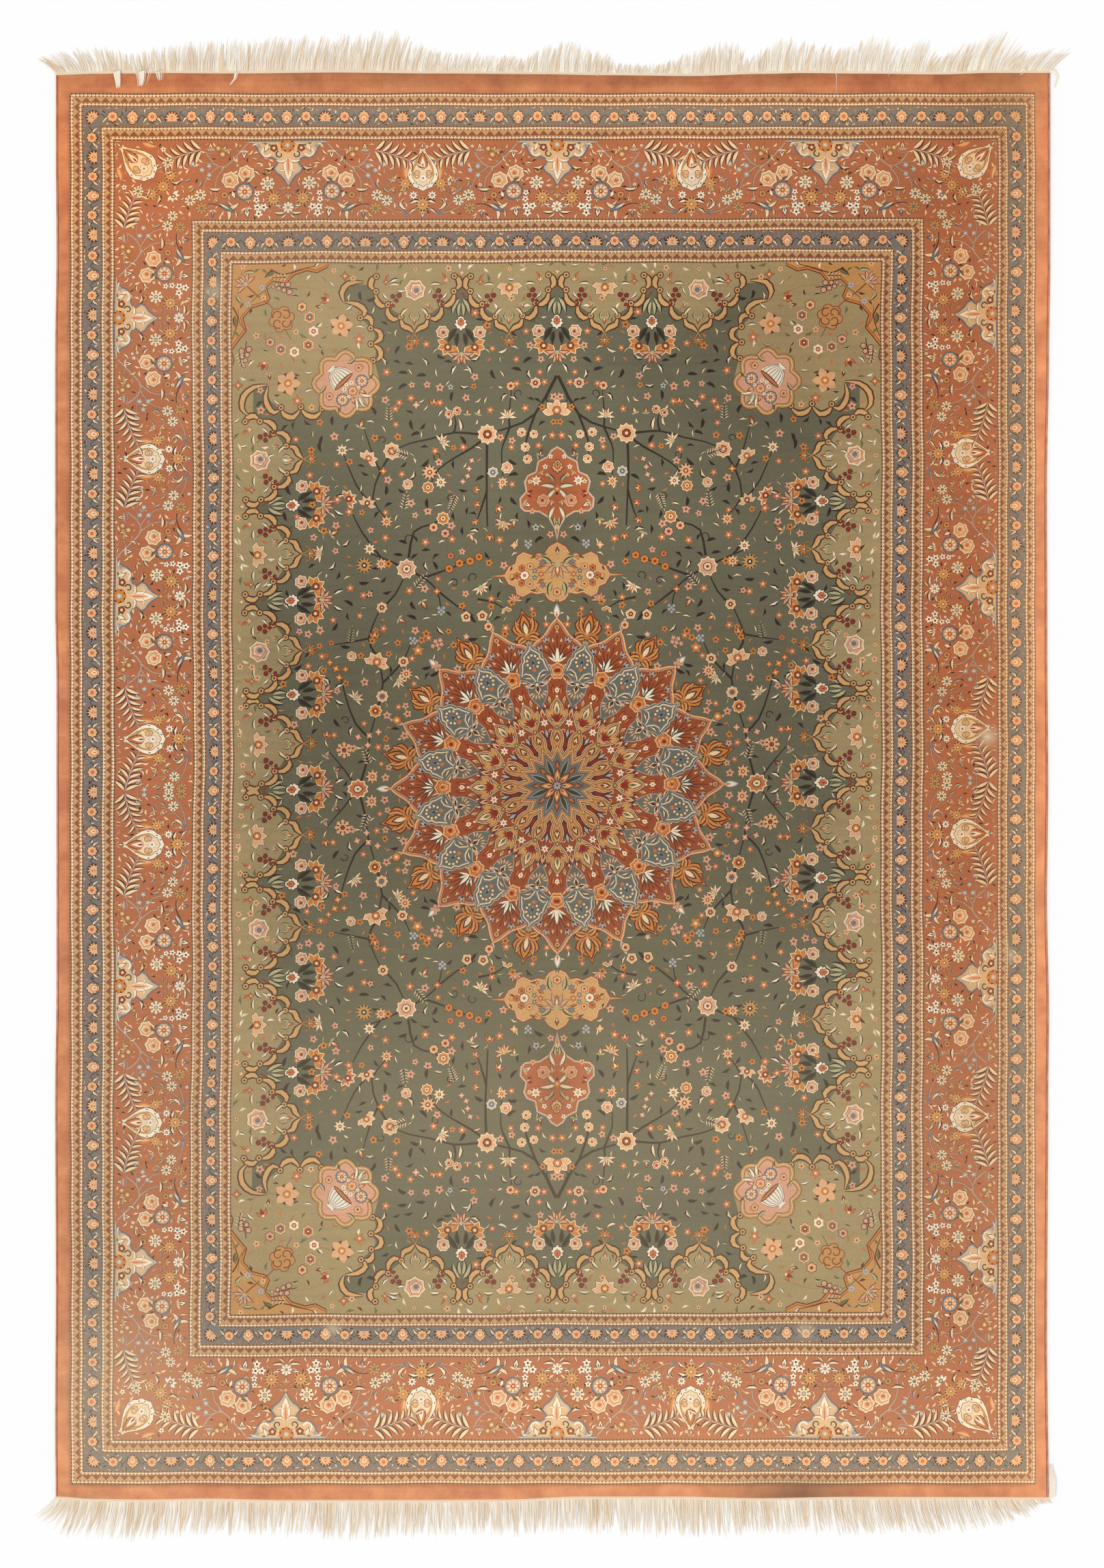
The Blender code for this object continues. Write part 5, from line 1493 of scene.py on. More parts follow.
def fieldLayers():
    width, height, radius = chartAcross[1], chartAlong[1], medallionRadius
    turns = np.linspace(0, np.pi / 2, 33)
    hole = np.stack((radius * np.cos(turns), radius * np.sin(turns)), 1)
    outer = splitEdges(((0, radius), (0, height), (width, height), (width, 0), (radius, 0)))
    outer = outer[: np.flatnonzero((outer[:, 1] == 0) & (outer[:, 0] == radius))[0]][1:]
    # round the hole, out along the X axis, up the side, back along the end and down to the hole again
    layers = [(np.concatenate((hole[::-1], outer[::-1])), "fieldGround")]
    # bodies of the lappets and the corner piece: one silk, so their outlines may overlap
    sides = [(float(fieldPlace(400, place)[1]), 90) for place in sideFinials]
    ends = [(float(fieldPlace(place, 1800)[0]), 180) for place in endFinials]
    frames = [(width, place, turn) for place, turn in sides] + [(place, height, turn) for place, turn in ends]
    edge = 30.0
    strip = ((0, height - edge), (width - edge, height - edge), (width - edge, 0), (width + 9, 0),
             (width + 9, height + 9), (0, height + 9))
    grounds = [(np.array(strip, float), "spandrelGround"), (placedOutline(cornerBody), "spandrelGround")]
    for x, y, turn in frames:
        grounds += moved([(both(lappetBody), "spandrelGround")], x, y, turn)
    layers += grounds
    bare = tuple(range(1, 1 + len(grounds)))
    for startWidth, endWidth, *points in fieldStems:
        layers.append((stroke(placedOutline(points), startWidth + 1.6, endWidth + 0.6), "stem"))
    layers += fieldRow(fieldFlowers)
    layers += axisCartouche()
    for place in sideCusps:
        layers += moved(gardenOf(bayFlowers), width, float(fieldPlace(400, place)[1]), 90)
    for place in endCusps:
        layers += moved(gardenOf(bayFlowers), float(fieldPlace(place, 1800)[0]), height, 180)
    for i, (x, y, turn) in enumerate(frames):
        layers += moved(lappet() + gardenOf(lappetFlowers), x, y, turn)
        bloom = peony(13.5, "peach", "orange") if i % 2 == 0 else rose(17, "pink", "blue", "brown", "cream")
        layers += moved(moved(bloom, 0, 38), x, y, turn)
    layers += rimmed(placedOutline(cornerWedge), (0, "maroon"), (1.6, "orange"),
                     (2.6, "maroon"), (0.8, "ochre"))
    bare += (len(layers) - 1,)
    layers += scrolls([placedOutline(path) for path in cornerScrolls],
                      [placedOutline([loop])[0] for loop in cornerLoops])
    for silk, startWidth, endWidth, *points in cornerStems:
        layers.append((stroke(placedOutline(points), startWidth, endWidth), silk))
    x, y = map(float, fieldPlace(414, 1843))
    layers += moved(rimmed(scallop(20, 6, 0.2), (0, "rust"), (1.4, "ochre")), x, y, 135)
    for turn in (45, 135, 225, 315):
        layers += moved(curl(15, "rust", 2.2), x + 8 * np.cos(np.radians(turn)),
                        y + 8 * np.sin(np.radians(turn)), turn)
    layers += fieldRow(cornerFlowers)
    x, y = map(float, fieldPlace(507, 1747))
    layers += moved(cornerCartouche(), x, y, 135)
    layers = filled(layers, (0,), fieldSmalls, 18.8)
    return filled(layers, bare, cornerSmalls, 20.0)


# Plain edge, guard stripes and foundation: rings and a sheet that follow the woven outline.

def ringPiece(inner, outer, profile):
    # point = inner + (outer - inner) * share at each height of the profile, closed both ways
    shares = np.array([row[0] for row in profile])[None, :, None]
    flat = inner[:, None, :] + (outer - inner)[:, None, :] * shares
    x, y = flat[..., 0], flat[..., 1]
    lift = np.array([row[1] for row in profile])[None, :]
    z = np.where(lift >= 0.0, pileHeight(x, y) - rug["pileTop"] + lift, -lift)
    count, across = x.shape
    index = np.arange(count * across).reshape(count, across)
    after, right = np.roll(index, -1, 0), np.roll(index, -1, 1)
    faces = np.stack((index, after, np.roll(after, -1, 1), right), -1).reshape(-1, 4)
    return np.stack((x, y, z), -1).reshape(-1, 3), faces[:, ::-1]


ringStep = 24.0  # knots from one point of a ring to the next
ringCounts = [int(2 * reach / ringStep) for reach in chartReach]  # points on an end and on a side


def chartRing(halfX, halfY):
    # points once round a rectangle of the chart, anticlockwise from its lower right corner, side by side
    countX, countY = ringCounts
    up = np.linspace(-1, 1, countY, endpoint=False)
    left = np.linspace(1, -1, countX, endpoint=False)
    x = np.concatenate((np.full(countY, halfX), left * halfX, np.full(countY, -halfX), -left * halfX))
    y = np.concatenate((up * halfY, np.full(countX, halfY), -up * halfY, np.full(countX, -halfY)))
    return x, y


def edgeRing():
    # the plain edge: from the outer guard to the cloth's own uneven outline, its rim rounded over
    x, y = chartRing(chartAcross[8], chartAlong[8])
    inner = np.stack(wovenPoint(x, y), 1)
    across, along = (x / chartAcross[8] + 1) / 2, (y / chartAlong[8] + 1) / 2
    outerX, outerY = clothPoint(across, along)
    outerX = outerX + (rug["cordDiameter"] + rug["gap"]) * (1 - 2 * across)
    outer = np.stack((outerX, outerY), 1)
    top, base = rug["pileTop"], rug["baseTop"]
    profile = [(0.0, -base), (0.0, top), (0.3, top), (0.6, top), (0.9, top), (0.96, top - 0.0002),
               (0.99, top - 0.0006), (1.0, top - 0.0014), (1.0, -base)]
    places, faces = ringPiece(inner, outer, profile)
    piece = meshPiece("pile_edge", places, faces, edgeMaterial, smooth=True)
    keepColours(piece.data, "wear", "POINT", wearAt(places[:, 0], places[:, 1]))
    return piece


def guardRings():
    places, faces, charted = [], [], []
    top, base = rug["pileTop"], rug["baseTop"]
    for index in (1, 3, 5, 7):
        inX, inY = chartRing(chartAcross[index], chartAlong[index])
        outX, outY = chartRing(chartAcross[index + 1], chartAlong[index + 1])
        inner, outer = np.stack(wovenPoint(inX, inY), 1), np.stack(wovenPoint(outX, outY), 1)
        profile = [(0.0, -base), (0.0, top), (0.5, top), (1.0, top), (1.0, -base)]
        ring, quads = ringPiece(inner, outer, profile)
        places.append(ring)
        faces.append(quads + sum(len(p) for p in places[:-1]))
        count = len(inX)
        shares = np.array([0.0, 0.0, 0.5, 1.0, 1.0])[None, :]
        chartX = (inX[:, None] + (outX - inX)[:, None] * shares).ravel()
        chartY = (inY[:, None] + (outY - inY)[:, None] * shares).ravel()
        countX, countY = ringCounts
        first = quads.min(1) // 5
        first = np.where((quads // 5).max(1) - first > 1, count - 1, first)
        upright = (first < countY) | ((first >= countY + countX) & (first < 2 * countY + countX))
        u = np.where(upright[:, None], chartY[quads], chartX[quads])
        low = np.where(upright, chartAcross[index], chartAlong[index])
        high = np.where(upright, chartAcross[index + 1], chartAlong[index + 1])
        v = np.where(upright[:, None], np.abs(chartX[quads]), np.abs(chartY[quads]))
        v = (v - low[:, None]) / (high - low)[:, None]
        charted.append(np.stack((u, v), -1).reshape(-1, 2))
    piece = meshPiece("pile_guards", np.concatenate(places), np.concatenate(faces), guardMaterial)
    layer = piece.data.uv_layers.new(name="guardChart")
    layer.data.foreach_set("uv", np.concatenate(charted).astype(np.float32).ravel())
    places = np.concatenate(places)
    keepColours(piece.data, "wear", "POINT", wearAt(places[:, 0], places[:, 1]))
    return piece


def sheetPiece():
    # the woven foundation: a grid on the outline with walls, as thick as the pile's root
    across, along = np.meshgrid(np.linspace(0, 1, 29), np.linspace(0, 1, 41))
    x, y = clothPoint(across, along)
    x = x + (rug["cordDiameter"] + rug["gap"]) * (1 - 2 * across)
    rows, columns = x.shape
    index = np.arange(rows * columns).reshape(rows, columns)
    quads = np.stack((index[:-1, :-1], index[:-1, 1:], index[1:, 1:], index[1:, :-1]), -1).reshape(-1, 4)
    rim = np.concatenate((index[0, :-1], index[:-1, -1], index[-1, :0:-1], index[:0:-1, 0]))
    after = np.roll(rim, -1)
    size = rows * columns
    walls = np.stack((rim, after, after + size, rim + size), 1)
    low = np.stack((x.ravel(), y.ravel(), np.zeros(size)), 1)
    high = low + (0, 0, rug["baseTop"])
    return meshPiece("foundation", np.concatenate((low, high)),
                     [quads[:, ::-1], quads + size, walls], baseMaterial)


# Whipped side cords.

def sideCord(name, side):
    # a round tube: middle line on the outline, radius swelling a little with each turn of the whipping
    along = np.linspace(0, 1, 260)
    x, y = clothPoint(np.full(len(along), float(side)), along)
    radius = rug["cordDiameter"] / 2
    x = x + radius * (1 - 2 * side)
    turns = np.linspace(0, 2 * np.pi, 6, endpoint=False)
    swell = 1.0 - 0.06 * (1.0 - np.abs(np.sin(np.arange(len(along)) * 1.3)))[:, None]
    px = x[:, None] + radius * swell * np.cos(turns)[None, :]
    pz = radius + radius * swell * np.sin(turns)[None, :]
    py = np.repeat(y[:, None], len(turns), 1)
    index = np.arange(px.size).reshape(px.shape)
    right = np.roll(index, -1, 1)
    quads = np.stack((index[:-1], index[1:], right[1:], right[:-1]), -1).reshape(-1, 4)
    ends = [index[0][None, :], index[-1][None, ::-1]]
    places = np.stack((px, py, pz), -1).reshape(-1, 3)
    return meshPiece(name, places, [quads] + ends, cordMaterial, smooth=True)


# Fringes: a flat-woven band with loose warp ends. The tables repeat how the solids' locks lie.
# Columns: share of the end from -X, length of the ends and lean of their tips to +X, in millimetres.
topFringe = (
    (0.000, 30, -40), (0.020, 44, -28), (0.050, 50, -10), (0.075, 34, -4), (0.100, 48, 0),
    (0.160, 60, 6), (0.260, 64, 12), (0.335, 72, 16), (0.365, 46, 14), (0.410, 36, 12),
    (0.465, 30, 10), (0.490, 52, 12), (0.515, 62, 10), (0.548, 38, 8), (0.570, 20, 4),
    (0.600, 20, 4), (0.640, 46, 8), (0.675, 66, 8), (0.695, 32, 6), (0.725, 64, 12),
    (0.780, 46, 14), (0.820, 70, 16), (0.845, 48, 16), (0.865, 64, 18), (0.882, 32, 18),
    (0.905, 58, 24), (0.940, 76, 34), (0.958, 42, 34), (1.000, 40, 44),
)
bottomFringe = (
    (0.000, 42, -44), (0.020, 66, -26), (0.060, 72, -14), (0.150, 66, -8), (0.200, 62, -4),
    (0.300, 70, -4), (0.400, 62, 0), (0.500, 64, 2), (0.640, 72, 4), (0.730, 62, 8),
    (0.820, 68, 16), (0.900, 62, 20), (0.940, 52, 24), (0.965, 34, 26), (0.985, 12, 10),
    (1.000, 10, 8),
)
# Locks out of line: an end (1 top, 0 bottom), how many strands, their spread in millimetres, then places
# in millimetres from the end's right corner: past it to +X, away from the band, and up.
looseLocks = (
    (1, 26, 4.0, (-4, 2, 1), (4, 9, 2), (13, 4, 3), (16, -12, 2), (9, -28, 1)),
    (0, 40, 8.0, (-4, 2, 1), (2, 4, 2), (8, 0, 3), (10, -24, 3), (7, -46, 2), (4, -66, 1)),
    (1, 34, 11.0, (-1883, 2, 2), (-1882, 8, 8), (-1879, -8, 7), (-1878, -20, 6), (-1877, -30, 5.4)),
    (1, 44, 16.0, (-1830, 2, 2), (-1829, 8, 8), (-1828, -6, 7), (-1829, -16, 6), (-1831, -26, 5.4)),
    (1, 20, 9.0, (-1796, 2, 2), (-1795, 6, 8), (-1794, -4, 7), (-1793, -10, 6), (-1792, -15, 5.4)),
    (1, 12, 4.0, (-1638, 2, 2), (-1640, 4, 7), (-1638, -6, 6), (-1644, -14, 6), (-1652, -24, 5.4)),
    (1, 2, 0.6, (-920, 1, 3), (-912, 4, 7), (-906, -2, 6), (-914, -8, 6), (-920, -2, 5.4)),
    (1, 2, 0.4, (-432, 2, 3), (-431, -4, 6), (-429, -20, 5.2), (-432, -36, 5.2), (-431, -52, 5.2)),
    (1, 2, 0.4, (-326, 1, 3), (-325, -1, 6), (-326, -3, 5.2), (-325, -5, 5.2), (-326, -8, 5.2)),
    (1, 14, 4.0, (-60, 2, 2), (-50, 14, 3), (-48, 10, 6), (-54, -2, 6), (-62, -4, 5.4)),
)
fringe = {"strands": 1090, "rings": 4, "width": 0.0029, "locks": 190, "gather": 0.5}


def strandTubes(paths, half):
    # three-sided tubes: corner = path + half width * (share across the heading, share upwards)
    count, rings = paths.shape[:2]
    heading = np.gradient(paths[..., :2], axis=1)
    heading /= np.maximum(np.hypot(heading[..., 0], heading[..., 1]), 1e-9)[..., None]
    left = np.stack((-heading[..., 1], heading[..., 0], np.zeros((count, rings))), -1)
    sides = [paths + half[..., None] * (left * a + np.array((0, 0, b))) for a,
             b in ((1, -0.15), (-1, -0.15), (0, 0.4))]
    places = np.stack(sides, 2)
    places[..., 2] = np.maximum(places[..., 2], 0.0001)
    index = np.arange(count * rings * 3).reshape(count, rings, 3)
    after = np.roll(index, -1, 2)
    quads = np.stack((index[:, :-1], index[:, 1:], after[:, 1:], after[:, :-1]), -1).reshape(-1, 4)
    return places.reshape(-1, 3), [quads, index[:, 0, :], index[:, -1, ::-1]]


def fringeEnd(name, upper, table):
    # each strand: root on the band, tip offset by its lean, half way bent by a share of t^1.4, tapered;
    # the strands of a lock draw together towards its tip
    outward = 1.0 if upper else -1.0
    count, rings = fringe["strands"], fringe["rings"]
    share = (np.arange(count) + chance.uniform(0.0, 1.0, count)) / count
    lock = np.minimum((share * fringe["locks"]).astype(int), fringe["locks"] - 1)
    lockTone, lockLength = chance.uniform(0, 1, fringe["locks"]), chance.uniform(-1, 1, fringe["locks"])
    length = eased(table, share) / 1000 * (1 + 0.12 * chance.uniform(-1, 1, count) + 0.09 * lockLength[lock])
    lean = eased([(row[0], row[2]) for row in table], share) / 1000 + 0.003 * chance.normal(0, 1, count)
    rootX, rootY = clothPoint(share, np.full(count, 1.0 if upper else 0.0))
    rootY = rootY + outward * (rug["gap"] + rug["bandWidth"] * 0.4)
    drawn = ((lock + 0.5) / fringe["locks"] - share) * 2.0 * fringe["gather"] + 0.004 * lockLength[lock]
    t = np.linspace(0, 1, rings)[None, :]
    phase = chance.uniform(0, 6.28, count)[:, None]
    waver = 0.0011 * np.sin(t * chance.uniform(2.5, 7.5, count)[:, None] + phase) * t
    x = rootX[:, None] + lean[:, None] * t**1.4 + drawn[:, None] * t**2 + waver
    y = rootY[:, None] + outward * length[:, None] * t
    lift = chance.uniform(0.0006, 0.0028, count)[:, None]
    z = 0.0007 + lift * np.sin(np.pi * np.clip(t * 0.9 + 0.12, 0, 1)) * (1 - 0.5 * t)
    half = fringe["width"] / 2 * chance.uniform(0.5, 1.1, count)[:, None] * (1 - t) ** 0.6 + 0.00016
    paths, halves, tones = [np.stack((x, y, z), -1)], [half], [0.6 * chance.uniform(0, 1, count)
                                                               + 0.4 * lockTone[lock]]
    cornerX, cornerY = clothPoint(np.ones(1), np.full(1, 1.0 if upper else 0.0))
    for end, strands, spread, *places in looseLocks:
        if (end == 1) == upper:
            route = np.array(places, float) / 1000
            at = np.linspace(0, 1, len(route))
            route = np.stack([np.interp(t[0], at, route[:, axis]) for axis in range(3)], 1) * (1, outward, 1)
            off = chance.normal(0, spread / 2200, (strands, 1)) * np.linspace(1.0, 0.5, rings)
            path = route[None] + np.stack((off, off * 0.3, np.abs(off) * 0.1),
                                          -1) + (cornerX[0], cornerY[0], 0)
            paths.append(path)
            halves.append(np.full((strands, 1), 0.0009 if strands > 2 else 0.0005) * (1.1 - t))
            tones.append(chance.uniform(0.3, 1, strands))
    places, faces = strandTubes(np.concatenate(paths), np.concatenate(halves))
    tone = np.repeat(np.concatenate(tones), rings * 3)
    flow = np.tile(np.repeat(t[0], 3), len(tone) // (rings * 3))
    bandPlaces, bandQuads = bandStrip(upper, len(places))
    places = np.concatenate((places, bandPlaces))
    piece = meshPiece(name, places, [*faces, bandQuads], fringeMaterial)
    tone = np.concatenate((tone, np.full(len(bandPlaces), 0.3)))
    flow = np.concatenate((flow, np.zeros(len(bandPlaces))))
    keepColours(piece.data, "strand", "POINT", np.stack((tone, flow, tone), 1))
    return piece


def bandStrip(upper, first):
    # the flat-woven band: a box swept along the end
    outward = 1.0 if upper else -1.0
    share = np.linspace(0, 1, 400)
    x, y = clothPoint(share, np.full(len(share), 1.0 if upper else 0.0))
    near, far = y + outward * rug["gap"], y + outward * (rug["gap"] + rug["bandWidth"])
    thick = rug["bandThickness"]
    section = ((near, 0.0), (near, thick), (y * 0 + (near + far) / 2, thick * 1.15),
               (far, thick * 0.8), (far, 0.0))
    places = np.stack([np.stack((x, at, np.full(len(x), z)), 1) for at, z in section], 1)
    size = len(section)
    index = np.arange(places.shape[0] * size).reshape(-1, size) + first
    right = np.roll(index, -1, 1)
    quads = np.stack((index[:-1], index[1:], right[1:], right[:-1]), -1).reshape(-1, 4)
    return places.reshape(-1, 3), quads if upper else quads[:, ::-1]


# Materials.

def add(material, kind, inputs=(), **settings):
    # one node with its settings; an input is a value, another node's output, or a node for its first output
    tree = material.node_tree
    made = tree.nodes.new(kind)
    for name, value in settings.items():
        setattr(made, name, value)
    for name, value in inputs.items() if isinstance(inputs, dict) else enumerate(inputs):
        if isinstance(value, bpy.types.Node):
            value = value.outputs[0]
        if isinstance(value, bpy.types.NodeSocket):
            tree.links.new(value, made.inputs[name])
        else:
            made.inputs[name].default_value = value
    return made


def newMaterial(name, roughness, sheen=0.0):
    material = bpy.data.materials.new(name)
    material.use_nodes = True
    shader = material.node_tree.nodes["Principled BSDF"]
    shader.inputs["Roughness"].default_value = roughness
    shader.inputs["Sheen Weight"].default_value = sheen
    shader.inputs["Sheen Roughness"].default_value = 0.45
    shader.inputs["Specular IOR Level"].default_value = 0.25
    return material, shader


def dyed(silk):
    return (*linear(silk), 1.0)


sums = "ShaderNodeMath"


def finishPile(material, shader, colour):
    # knots: rows of weft every knot along Y and warps along X; abrash: faint streaks along the weft
    links = material.node_tree.links
    place = add(material, "ShaderNodeTexCoord").outputs["Object"]
    worn = add(material, "ShaderNodeSeparateColor",
               [add(material, "ShaderNodeAttribute", attribute_name="wear")])
    streaky = add(material, "ShaderNodeMapping", {"Vector": place, "Scale": (2.2, 85.0, 1.0)})
    streak = add(material, "ShaderNodeTexNoise", {"Vector": streaky, "Scale": 1.0, "Detail": 3.0})
    patch = add(material, "ShaderNodeTexNoise",
                {"Vector": place, "Scale": 9.0, "Detail": 4.0, "Roughness": 0.62})
    knotPlace = add(material, "ShaderNodeVectorMath", [place, (rug["knot"],) * 3], operation="SNAP")
    knotTone = add(material, "ShaderNodeTexWhiteNoise", {"Vector": knotPlace})
    tone = add(material, sums, [streak, 0.3, 0.85 - 0.17 - 0.1], operation="MULTIPLY_ADD")
    tone = add(material, sums, [patch, 0.34, tone], operation="MULTIPLY_ADD")
    tone = add(material, sums, [knotTone, 0.2, tone], operation="MULTIPLY_ADD")
    tone = add(material, sums, [worn.outputs["Green"], -0.7, tone], operation="MULTIPLY_ADD")
    toned = add(material, "ShaderNodeVectorMath", {0: colour, "Scale": tone}, operation="SCALE")
    yellow = add(material, "ShaderNodeMix", {0: worn.outputs["Blue"], 6: toned, 7: (0.9, 0.52, 0.12, 1.0)},
                 data_type="RGBA", blend_type="MULTIPLY")
    pale = add(material, "ShaderNodeMix", {0: worn.outputs["Red"], 6: yellow.outputs[2], 7: dyed("#dcc7a2")},
               data_type="RGBA")
    links.new(pale.outputs[2], shader.inputs["Base Color"])
    apart = add(material, "ShaderNodeSeparateXYZ", [place])
    wide = 2 * np.pi / rug["knot"]
    rows = add(material, sums, [add(material, sums, [apart.outputs["Y"], wide], operation="MULTIPLY")],
               operation="SINE")
    warps = add(material, sums, [add(material, sums, [apart.outputs["X"], wide], operation="MULTIPLY")],
                operation="SINE")
    fuzz = add(material, "ShaderNodeTexNoise", {"Vector": place, "Scale": 900.0, "Detail": 2.0})
    height = add(material, sums, [rows, 0.6, add(material, sums, [fuzz, 1.2], operation="MULTIPLY")],
                 operation="MULTIPLY_ADD")
    height = add(material, sums, [warps, 0.35, height], operation="MULTIPLY_ADD")
    bump = add(material, "ShaderNodeBump", {"Strength": 0.35, "Distance": 0.0004, "Height": height})
    links.new(bump.outputs[0], shader.inputs["Normal"])
    gloss = add(material, sums, [streak, 0.2, 0.5], operation="MULTIPLY_ADD")
    links.new(gloss.outputs[0], shader.inputs["Roughness"])


def silkPileMaterial():
    # dyed silk, knotted and clipped: a soft matt gloss, small knots in rows, shade varying with the dye lot
    material, shader = newMaterial("knotted_silk_pile", 0.6, 0.25)
    finishPile(material, shader, add(material, "ShaderNodeAttribute", attribute_name="dye").outputs["Color"])
    return material


def plainEdgeMaterial():
    # the same pile in one salmon dye, blotched where it was walked on and washed
    material, shader = newMaterial("knotted_salmon_edge", 0.6, 0.3)
    place = add(material, "ShaderNodeTexCoord").outputs["Object"]
    blotch = add(material, "ShaderNodeTexNoise",
                 {"Vector": place, "Scale": 16.0, "Detail": 4.0, "Roughness": 0.62})
    ramp = add(material, "ShaderNodeValToRGB", [blotch])
    stops = ramp.color_ramp.elements
    stops[0].position, stops[0].color = 0.36, dyed("#bc7048")
    stops[1].position, stops[1].color = 0.66, dyed("#da9061")
    stops.new(0.5).color = dyed("#cc8054")
    finishPile(material, shader, ramp.outputs["Color"])
    return material


def guardStripeMaterial():
    # narrow stripes of knotted silk: a cream zigzag with dark dots along both sides, small triangles between
    material, shader = newMaterial("knotted_guard_stripes", 0.6, 0.25)
    pitch, triangle = 5.3, 13.0  # knots from tooth to tooth, and from one small triangle to the next
    chart = add(material, "ShaderNodeUVMap", uv_map="guardChart")
    apart = add(material, "ShaderNodeSeparateXYZ", [chart])
    along, across = apart.outputs["X"], apart.outputs["Y"]
    middle = add(material, sums, [across, 0.5], operation="SUBTRACT")
    side = add(material, sums, [middle], operation="ABSOLUTE")
    outer = add(material, sums, [side, 0.2], operation="GREATER_THAN")
    teeth = add(material, sums, [along, pitch / 2], operation="PINGPONG")
    line = add(material, sums, [teeth, 0.052, 0.27], operation="MULTIPLY_ADD")
    near = add(material, sums, [line, side, 0.062], operation="COMPARE")
    cream = add(material, sums, [near, outer], operation="MULTIPLY")
    centre = add(material, sums, [along, triangle / 2], operation="PINGPONG")
    slope = add(material, sums, [centre, 0.05, -0.16], operation="MULTIPLY_ADD")
    below = add(material, sums, [middle, slope], operation="LESS_THAN")
    inside = add(material, sums, [side, 0.18], operation="LESS_THAN")
    triangles = add(material, sums, [below, inside], operation="MULTIPLY")
    between = add(material, sums, [along, pitch / 2], operation="ADD")
    beat = add(material, sums, [between, pitch / 2], operation="PINGPONG")
    small = add(material, sums, [beat, 1.0], operation="LESS_THAN")
    rim = add(material, sums, [side, 0.42, 0.055], operation="COMPARE")
    dots = add(material, sums, [small, rim], operation="MULTIPLY")
    colour = add(material, "ShaderNodeMix",
                 {0: outer, 6: dyed("#c69a6a"), 7: dyed("#a06c43")}, data_type="RGBA")
    for mask, silk in ((triangles, "#8a4f2e"), (cream, "#f2dcba"), (dots, "#3c2417")):
        colour = add(material, "ShaderNodeMix",
                     {0: mask, 6: colour.outputs[2], 7: dyed(silk)}, data_type="RGBA")
    finishPile(material, shader, colour.outputs[2])
    return material


def foundationMaterial():
    # undyed silk warp and weft in plain weave, seen only from below
    material, shader = newMaterial("woven_silk_foundation", 0.7, 0.1)
    place = add(material, "ShaderNodeTexCoord").outputs["Object"]
    weave = add(material, "ShaderNodeTexNoise", {"Vector": place, "Scale": 700.0, "Detail": 2.0})
    ramp = add(material, "ShaderNodeValToRGB", [weave])
    ramp.color_ramp.elements[0].color = dyed("#a8794f")
    ramp.color_ramp.elements[1].color = dyed("#d6b48a")
    material.node_tree.links.new(ramp.outputs["Color"], shader.inputs["Base Color"])
    bump = add(material, "ShaderNodeBump", {"Strength": 0.4, "Distance": 0.0003, "Height": weave})
    material.node_tree.links.new(bump.outputs[0], shader.inputs["Normal"])
    return material


def whippedCordMaterial():
    # salmon silk wound round the edge warps: fine turns across the cord, one each 0.9 mm
    material, shader = newMaterial("whipped_salmon_silk", 0.65, 0.2)
    place = add(material, "ShaderNodeTexCoord").outputs["Object"]
    apart = add(material, "ShaderNodeSeparateXYZ", [place])
    wound = add(material, sums, [apart.outputs["Y"], 2 * np.pi / 0.0009], operation="MULTIPLY")
    turns = add(material, sums, [wound], operation="SINE")
    tone = add(material, "ShaderNodeTexNoise", {"Vector": place, "Scale": 40.0, "Detail": 3.0})
    ramp = add(material, "ShaderNodeValToRGB", [tone])
    stops = ramp.color_ramp.elements
    stops[0].position, stops[0].color = 0.3, dyed("#c67c56")
    stops[1].position, stops[1].color = 0.75, dyed("#eaa680")
    material.node_tree.links.new(ramp.outputs["Color"], shader.inputs["Base Color"])
    bump = add(material, "ShaderNodeBump", {"Strength": 0.5, "Distance": 0.0003, "Height": turns})
    material.node_tree.links.new(bump.outputs[0], shader.inputs["Normal"])
    return material


def looseWarpMaterial():
    # undyed silk warp ends: cream, each thread a little different
    material, shader = newMaterial("loose_silk_warp", 0.62, 0.3)
    strand = add(material, "ShaderNodeAttribute", attribute_name="strand")
    apart = add(material, "ShaderNodeSeparateColor", [strand])
    ramp = add(material, "ShaderNodeValToRGB", [apart.outputs["Red"]])
    stops = ramp.color_ramp.elements
    stops[0].color = dyed("#e4c6a0")
    stops[1].color = dyed("#fffaec")
    place = add(material, "ShaderNodeTexCoord").outputs["Object"]
    fibre = add(material, "ShaderNodeTexNoise", {"Vector": place, "Scale": 800.0, "Detail": 2.0})
    material.node_tree.links.new(ramp.outputs["Color"], shader.inputs["Base Color"])
    bump = add(material, "ShaderNodeBump", {"Strength": 0.4, "Distance": 0.0004, "Height": fibre})
    material.node_tree.links.new(bump.outputs[0], shader.inputs["Normal"])
    return material


pileMaterial = silkPileMaterial()
edgeMaterial = plainEdgeMaterial()
guardMaterial = guardStripeMaterial()
baseMaterial = foundationMaterial()
cordMaterial = whippedCordMaterial()
fringeMaterial = looseWarpMaterial()
print("materials ready")

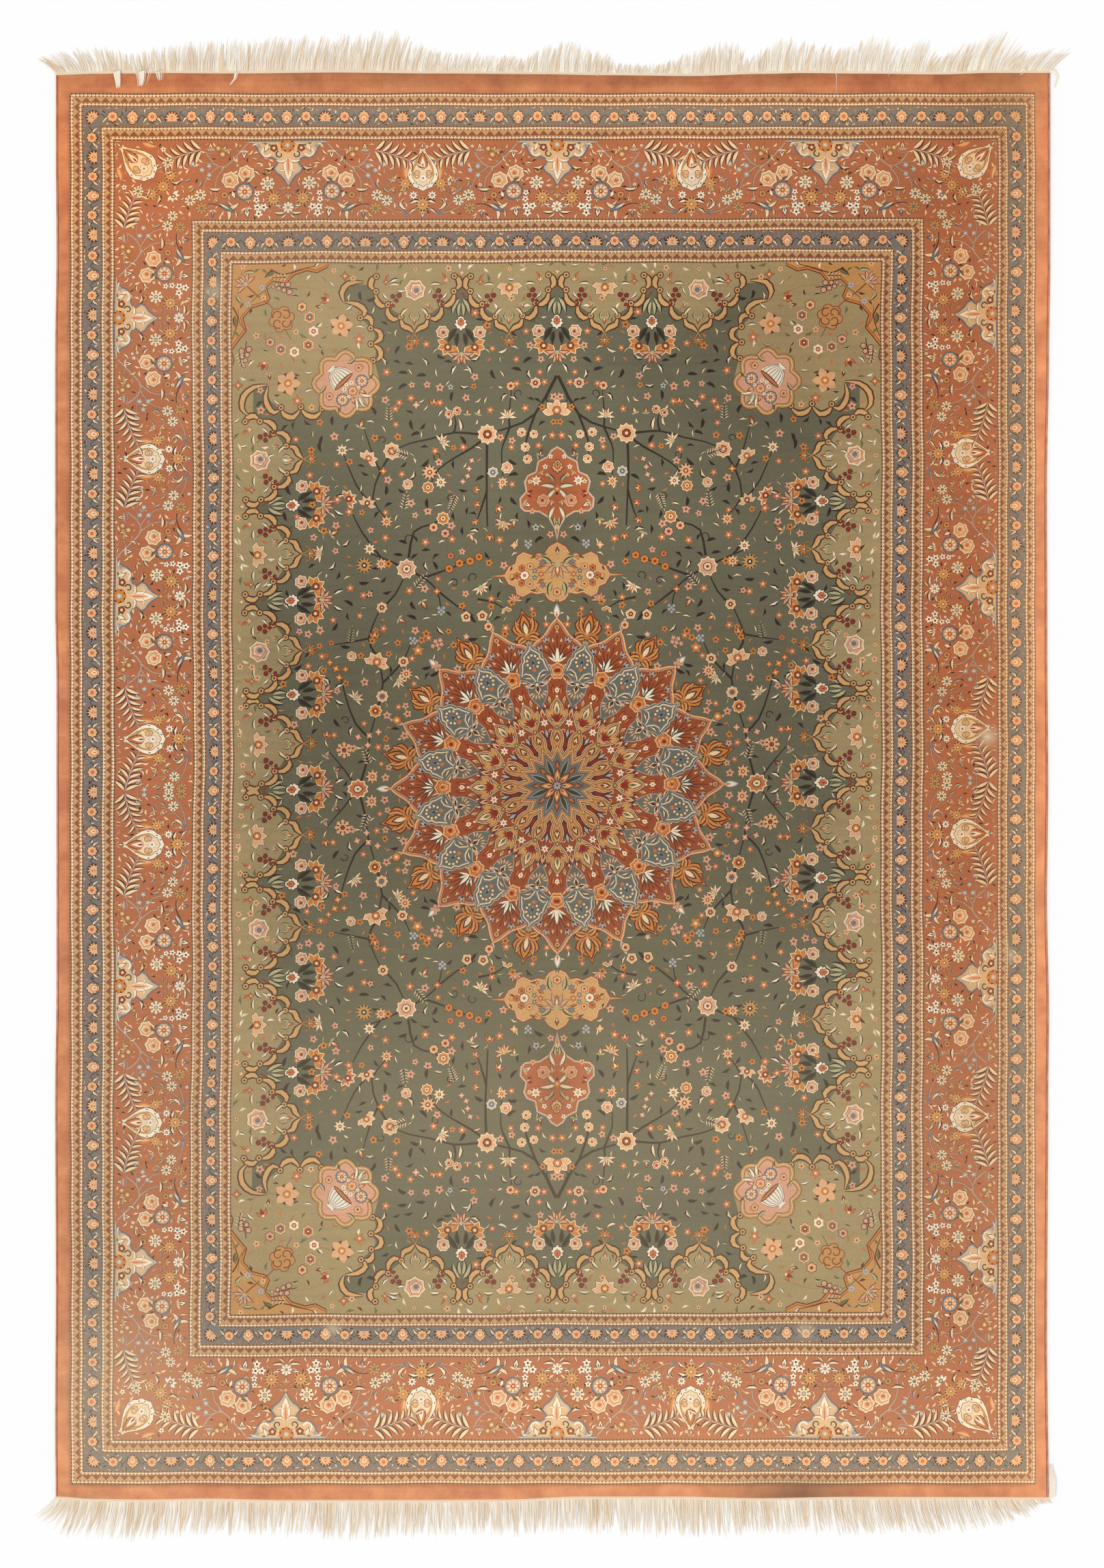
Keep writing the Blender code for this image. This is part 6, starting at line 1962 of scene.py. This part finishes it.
# Pieces of the rug.
allQuarters = ((1, 1), (-1, 1), (-1, -1), (1, -1))
borderLayers, gardenLayers = mainBorderLayers(), fieldLayers()
tiles = [
    edgeRing(), guardRings(),
    closedTile("pile_blue_bands", blueBandLayers(), 2, allQuarters, pileMaterial),
    closedTile("pile_medallion", medallionLayers(), 1, allQuarters, pileMaterial),
]
for end, quarters in (("upper", allQuarters[:2]), ("lower", allQuarters[2:])):
    tiles.append(closedTile("pile_main_border_" + end, borderLayers, 1, quarters, pileMaterial))
    tiles.append(closedTile("pile_field_" + end, gardenLayers, 1, quarters, pileMaterial))
print("pile ready")
base = sheetPiece()
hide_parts("knotted_rug")
for name, side, node in (("side_whipping_left", 0, "side_cord_left"),
                         ("side_whipping_right", 1, "side_cord_right")):
    cord = sideCord(name, side)
    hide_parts(node)
for name, upper, table, node in (("warp_ends_top", True, topFringe, "fringe_top"),
                                 ("warp_ends_bottom", False, bottomFringe, "fringe_bottom")):
    end = fringeEnd(name, upper, table)
    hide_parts(node)
print("cords and fringes ready")

# Floor, light and camera: straight above, the whole frame of the photograph.
view = {"lens": 85.0, "sensor": 36.0, "frameHeight": 3.1581, "x": 0.0003, "y": 0.0041}
floorMesh = bpy.data.meshes.new("floor")
floorMesh.from_pydata([(-6, -6, 0), (6, -6, 0), (6, 6, 0), (-6, 6, 0)], [], [(0, 1, 2, 3)])
floor = bpy.data.objects.new("floor", floorMesh)
bpy.context.scene.collection.objects.link(floor)
floorMaterial, floorShader = newMaterial("pale_floor", 0.9)
floorShader.inputs["Base Color"].default_value = (0.985, 0.985, 0.985, 1.0)
floorMesh.materials.append(floorMaterial)

world = bpy.data.worlds.new("studio")
world.use_nodes = True
world.node_tree.nodes["Background"].inputs["Color"].default_value = (1.0, 1.0, 1.0, 1.0)
world.node_tree.nodes["Background"].inputs["Strength"].default_value = 0.78
bpy.context.scene.world = world
sun = bpy.data.lights.new("soft_sun", "SUN")
sun.energy = 0.95
sun.angle = 0.5
sunLamp = bpy.data.objects.new("soft_sun", sun)
sunLamp.rotation_euler = (0.55, -0.5, 0.0)
bpy.context.scene.collection.objects.link(sunLamp)

lens = bpy.data.cameras.new("camera")
lens.lens, lens.sensor_width, lens.sensor_fit = view["lens"], view["sensor"], "VERTICAL"
lens.sensor_height = view["sensor"]
camera = bpy.data.objects.new("camera", lens)
distance = view["frameHeight"] * view["lens"] / view["sensor"]
camera.location = (view["x"], view["y"], distance)
bpy.context.scene.collection.objects.link(camera)
bpy.context.scene.camera = camera
bpy.context.scene.view_settings.view_transform = "Standard"
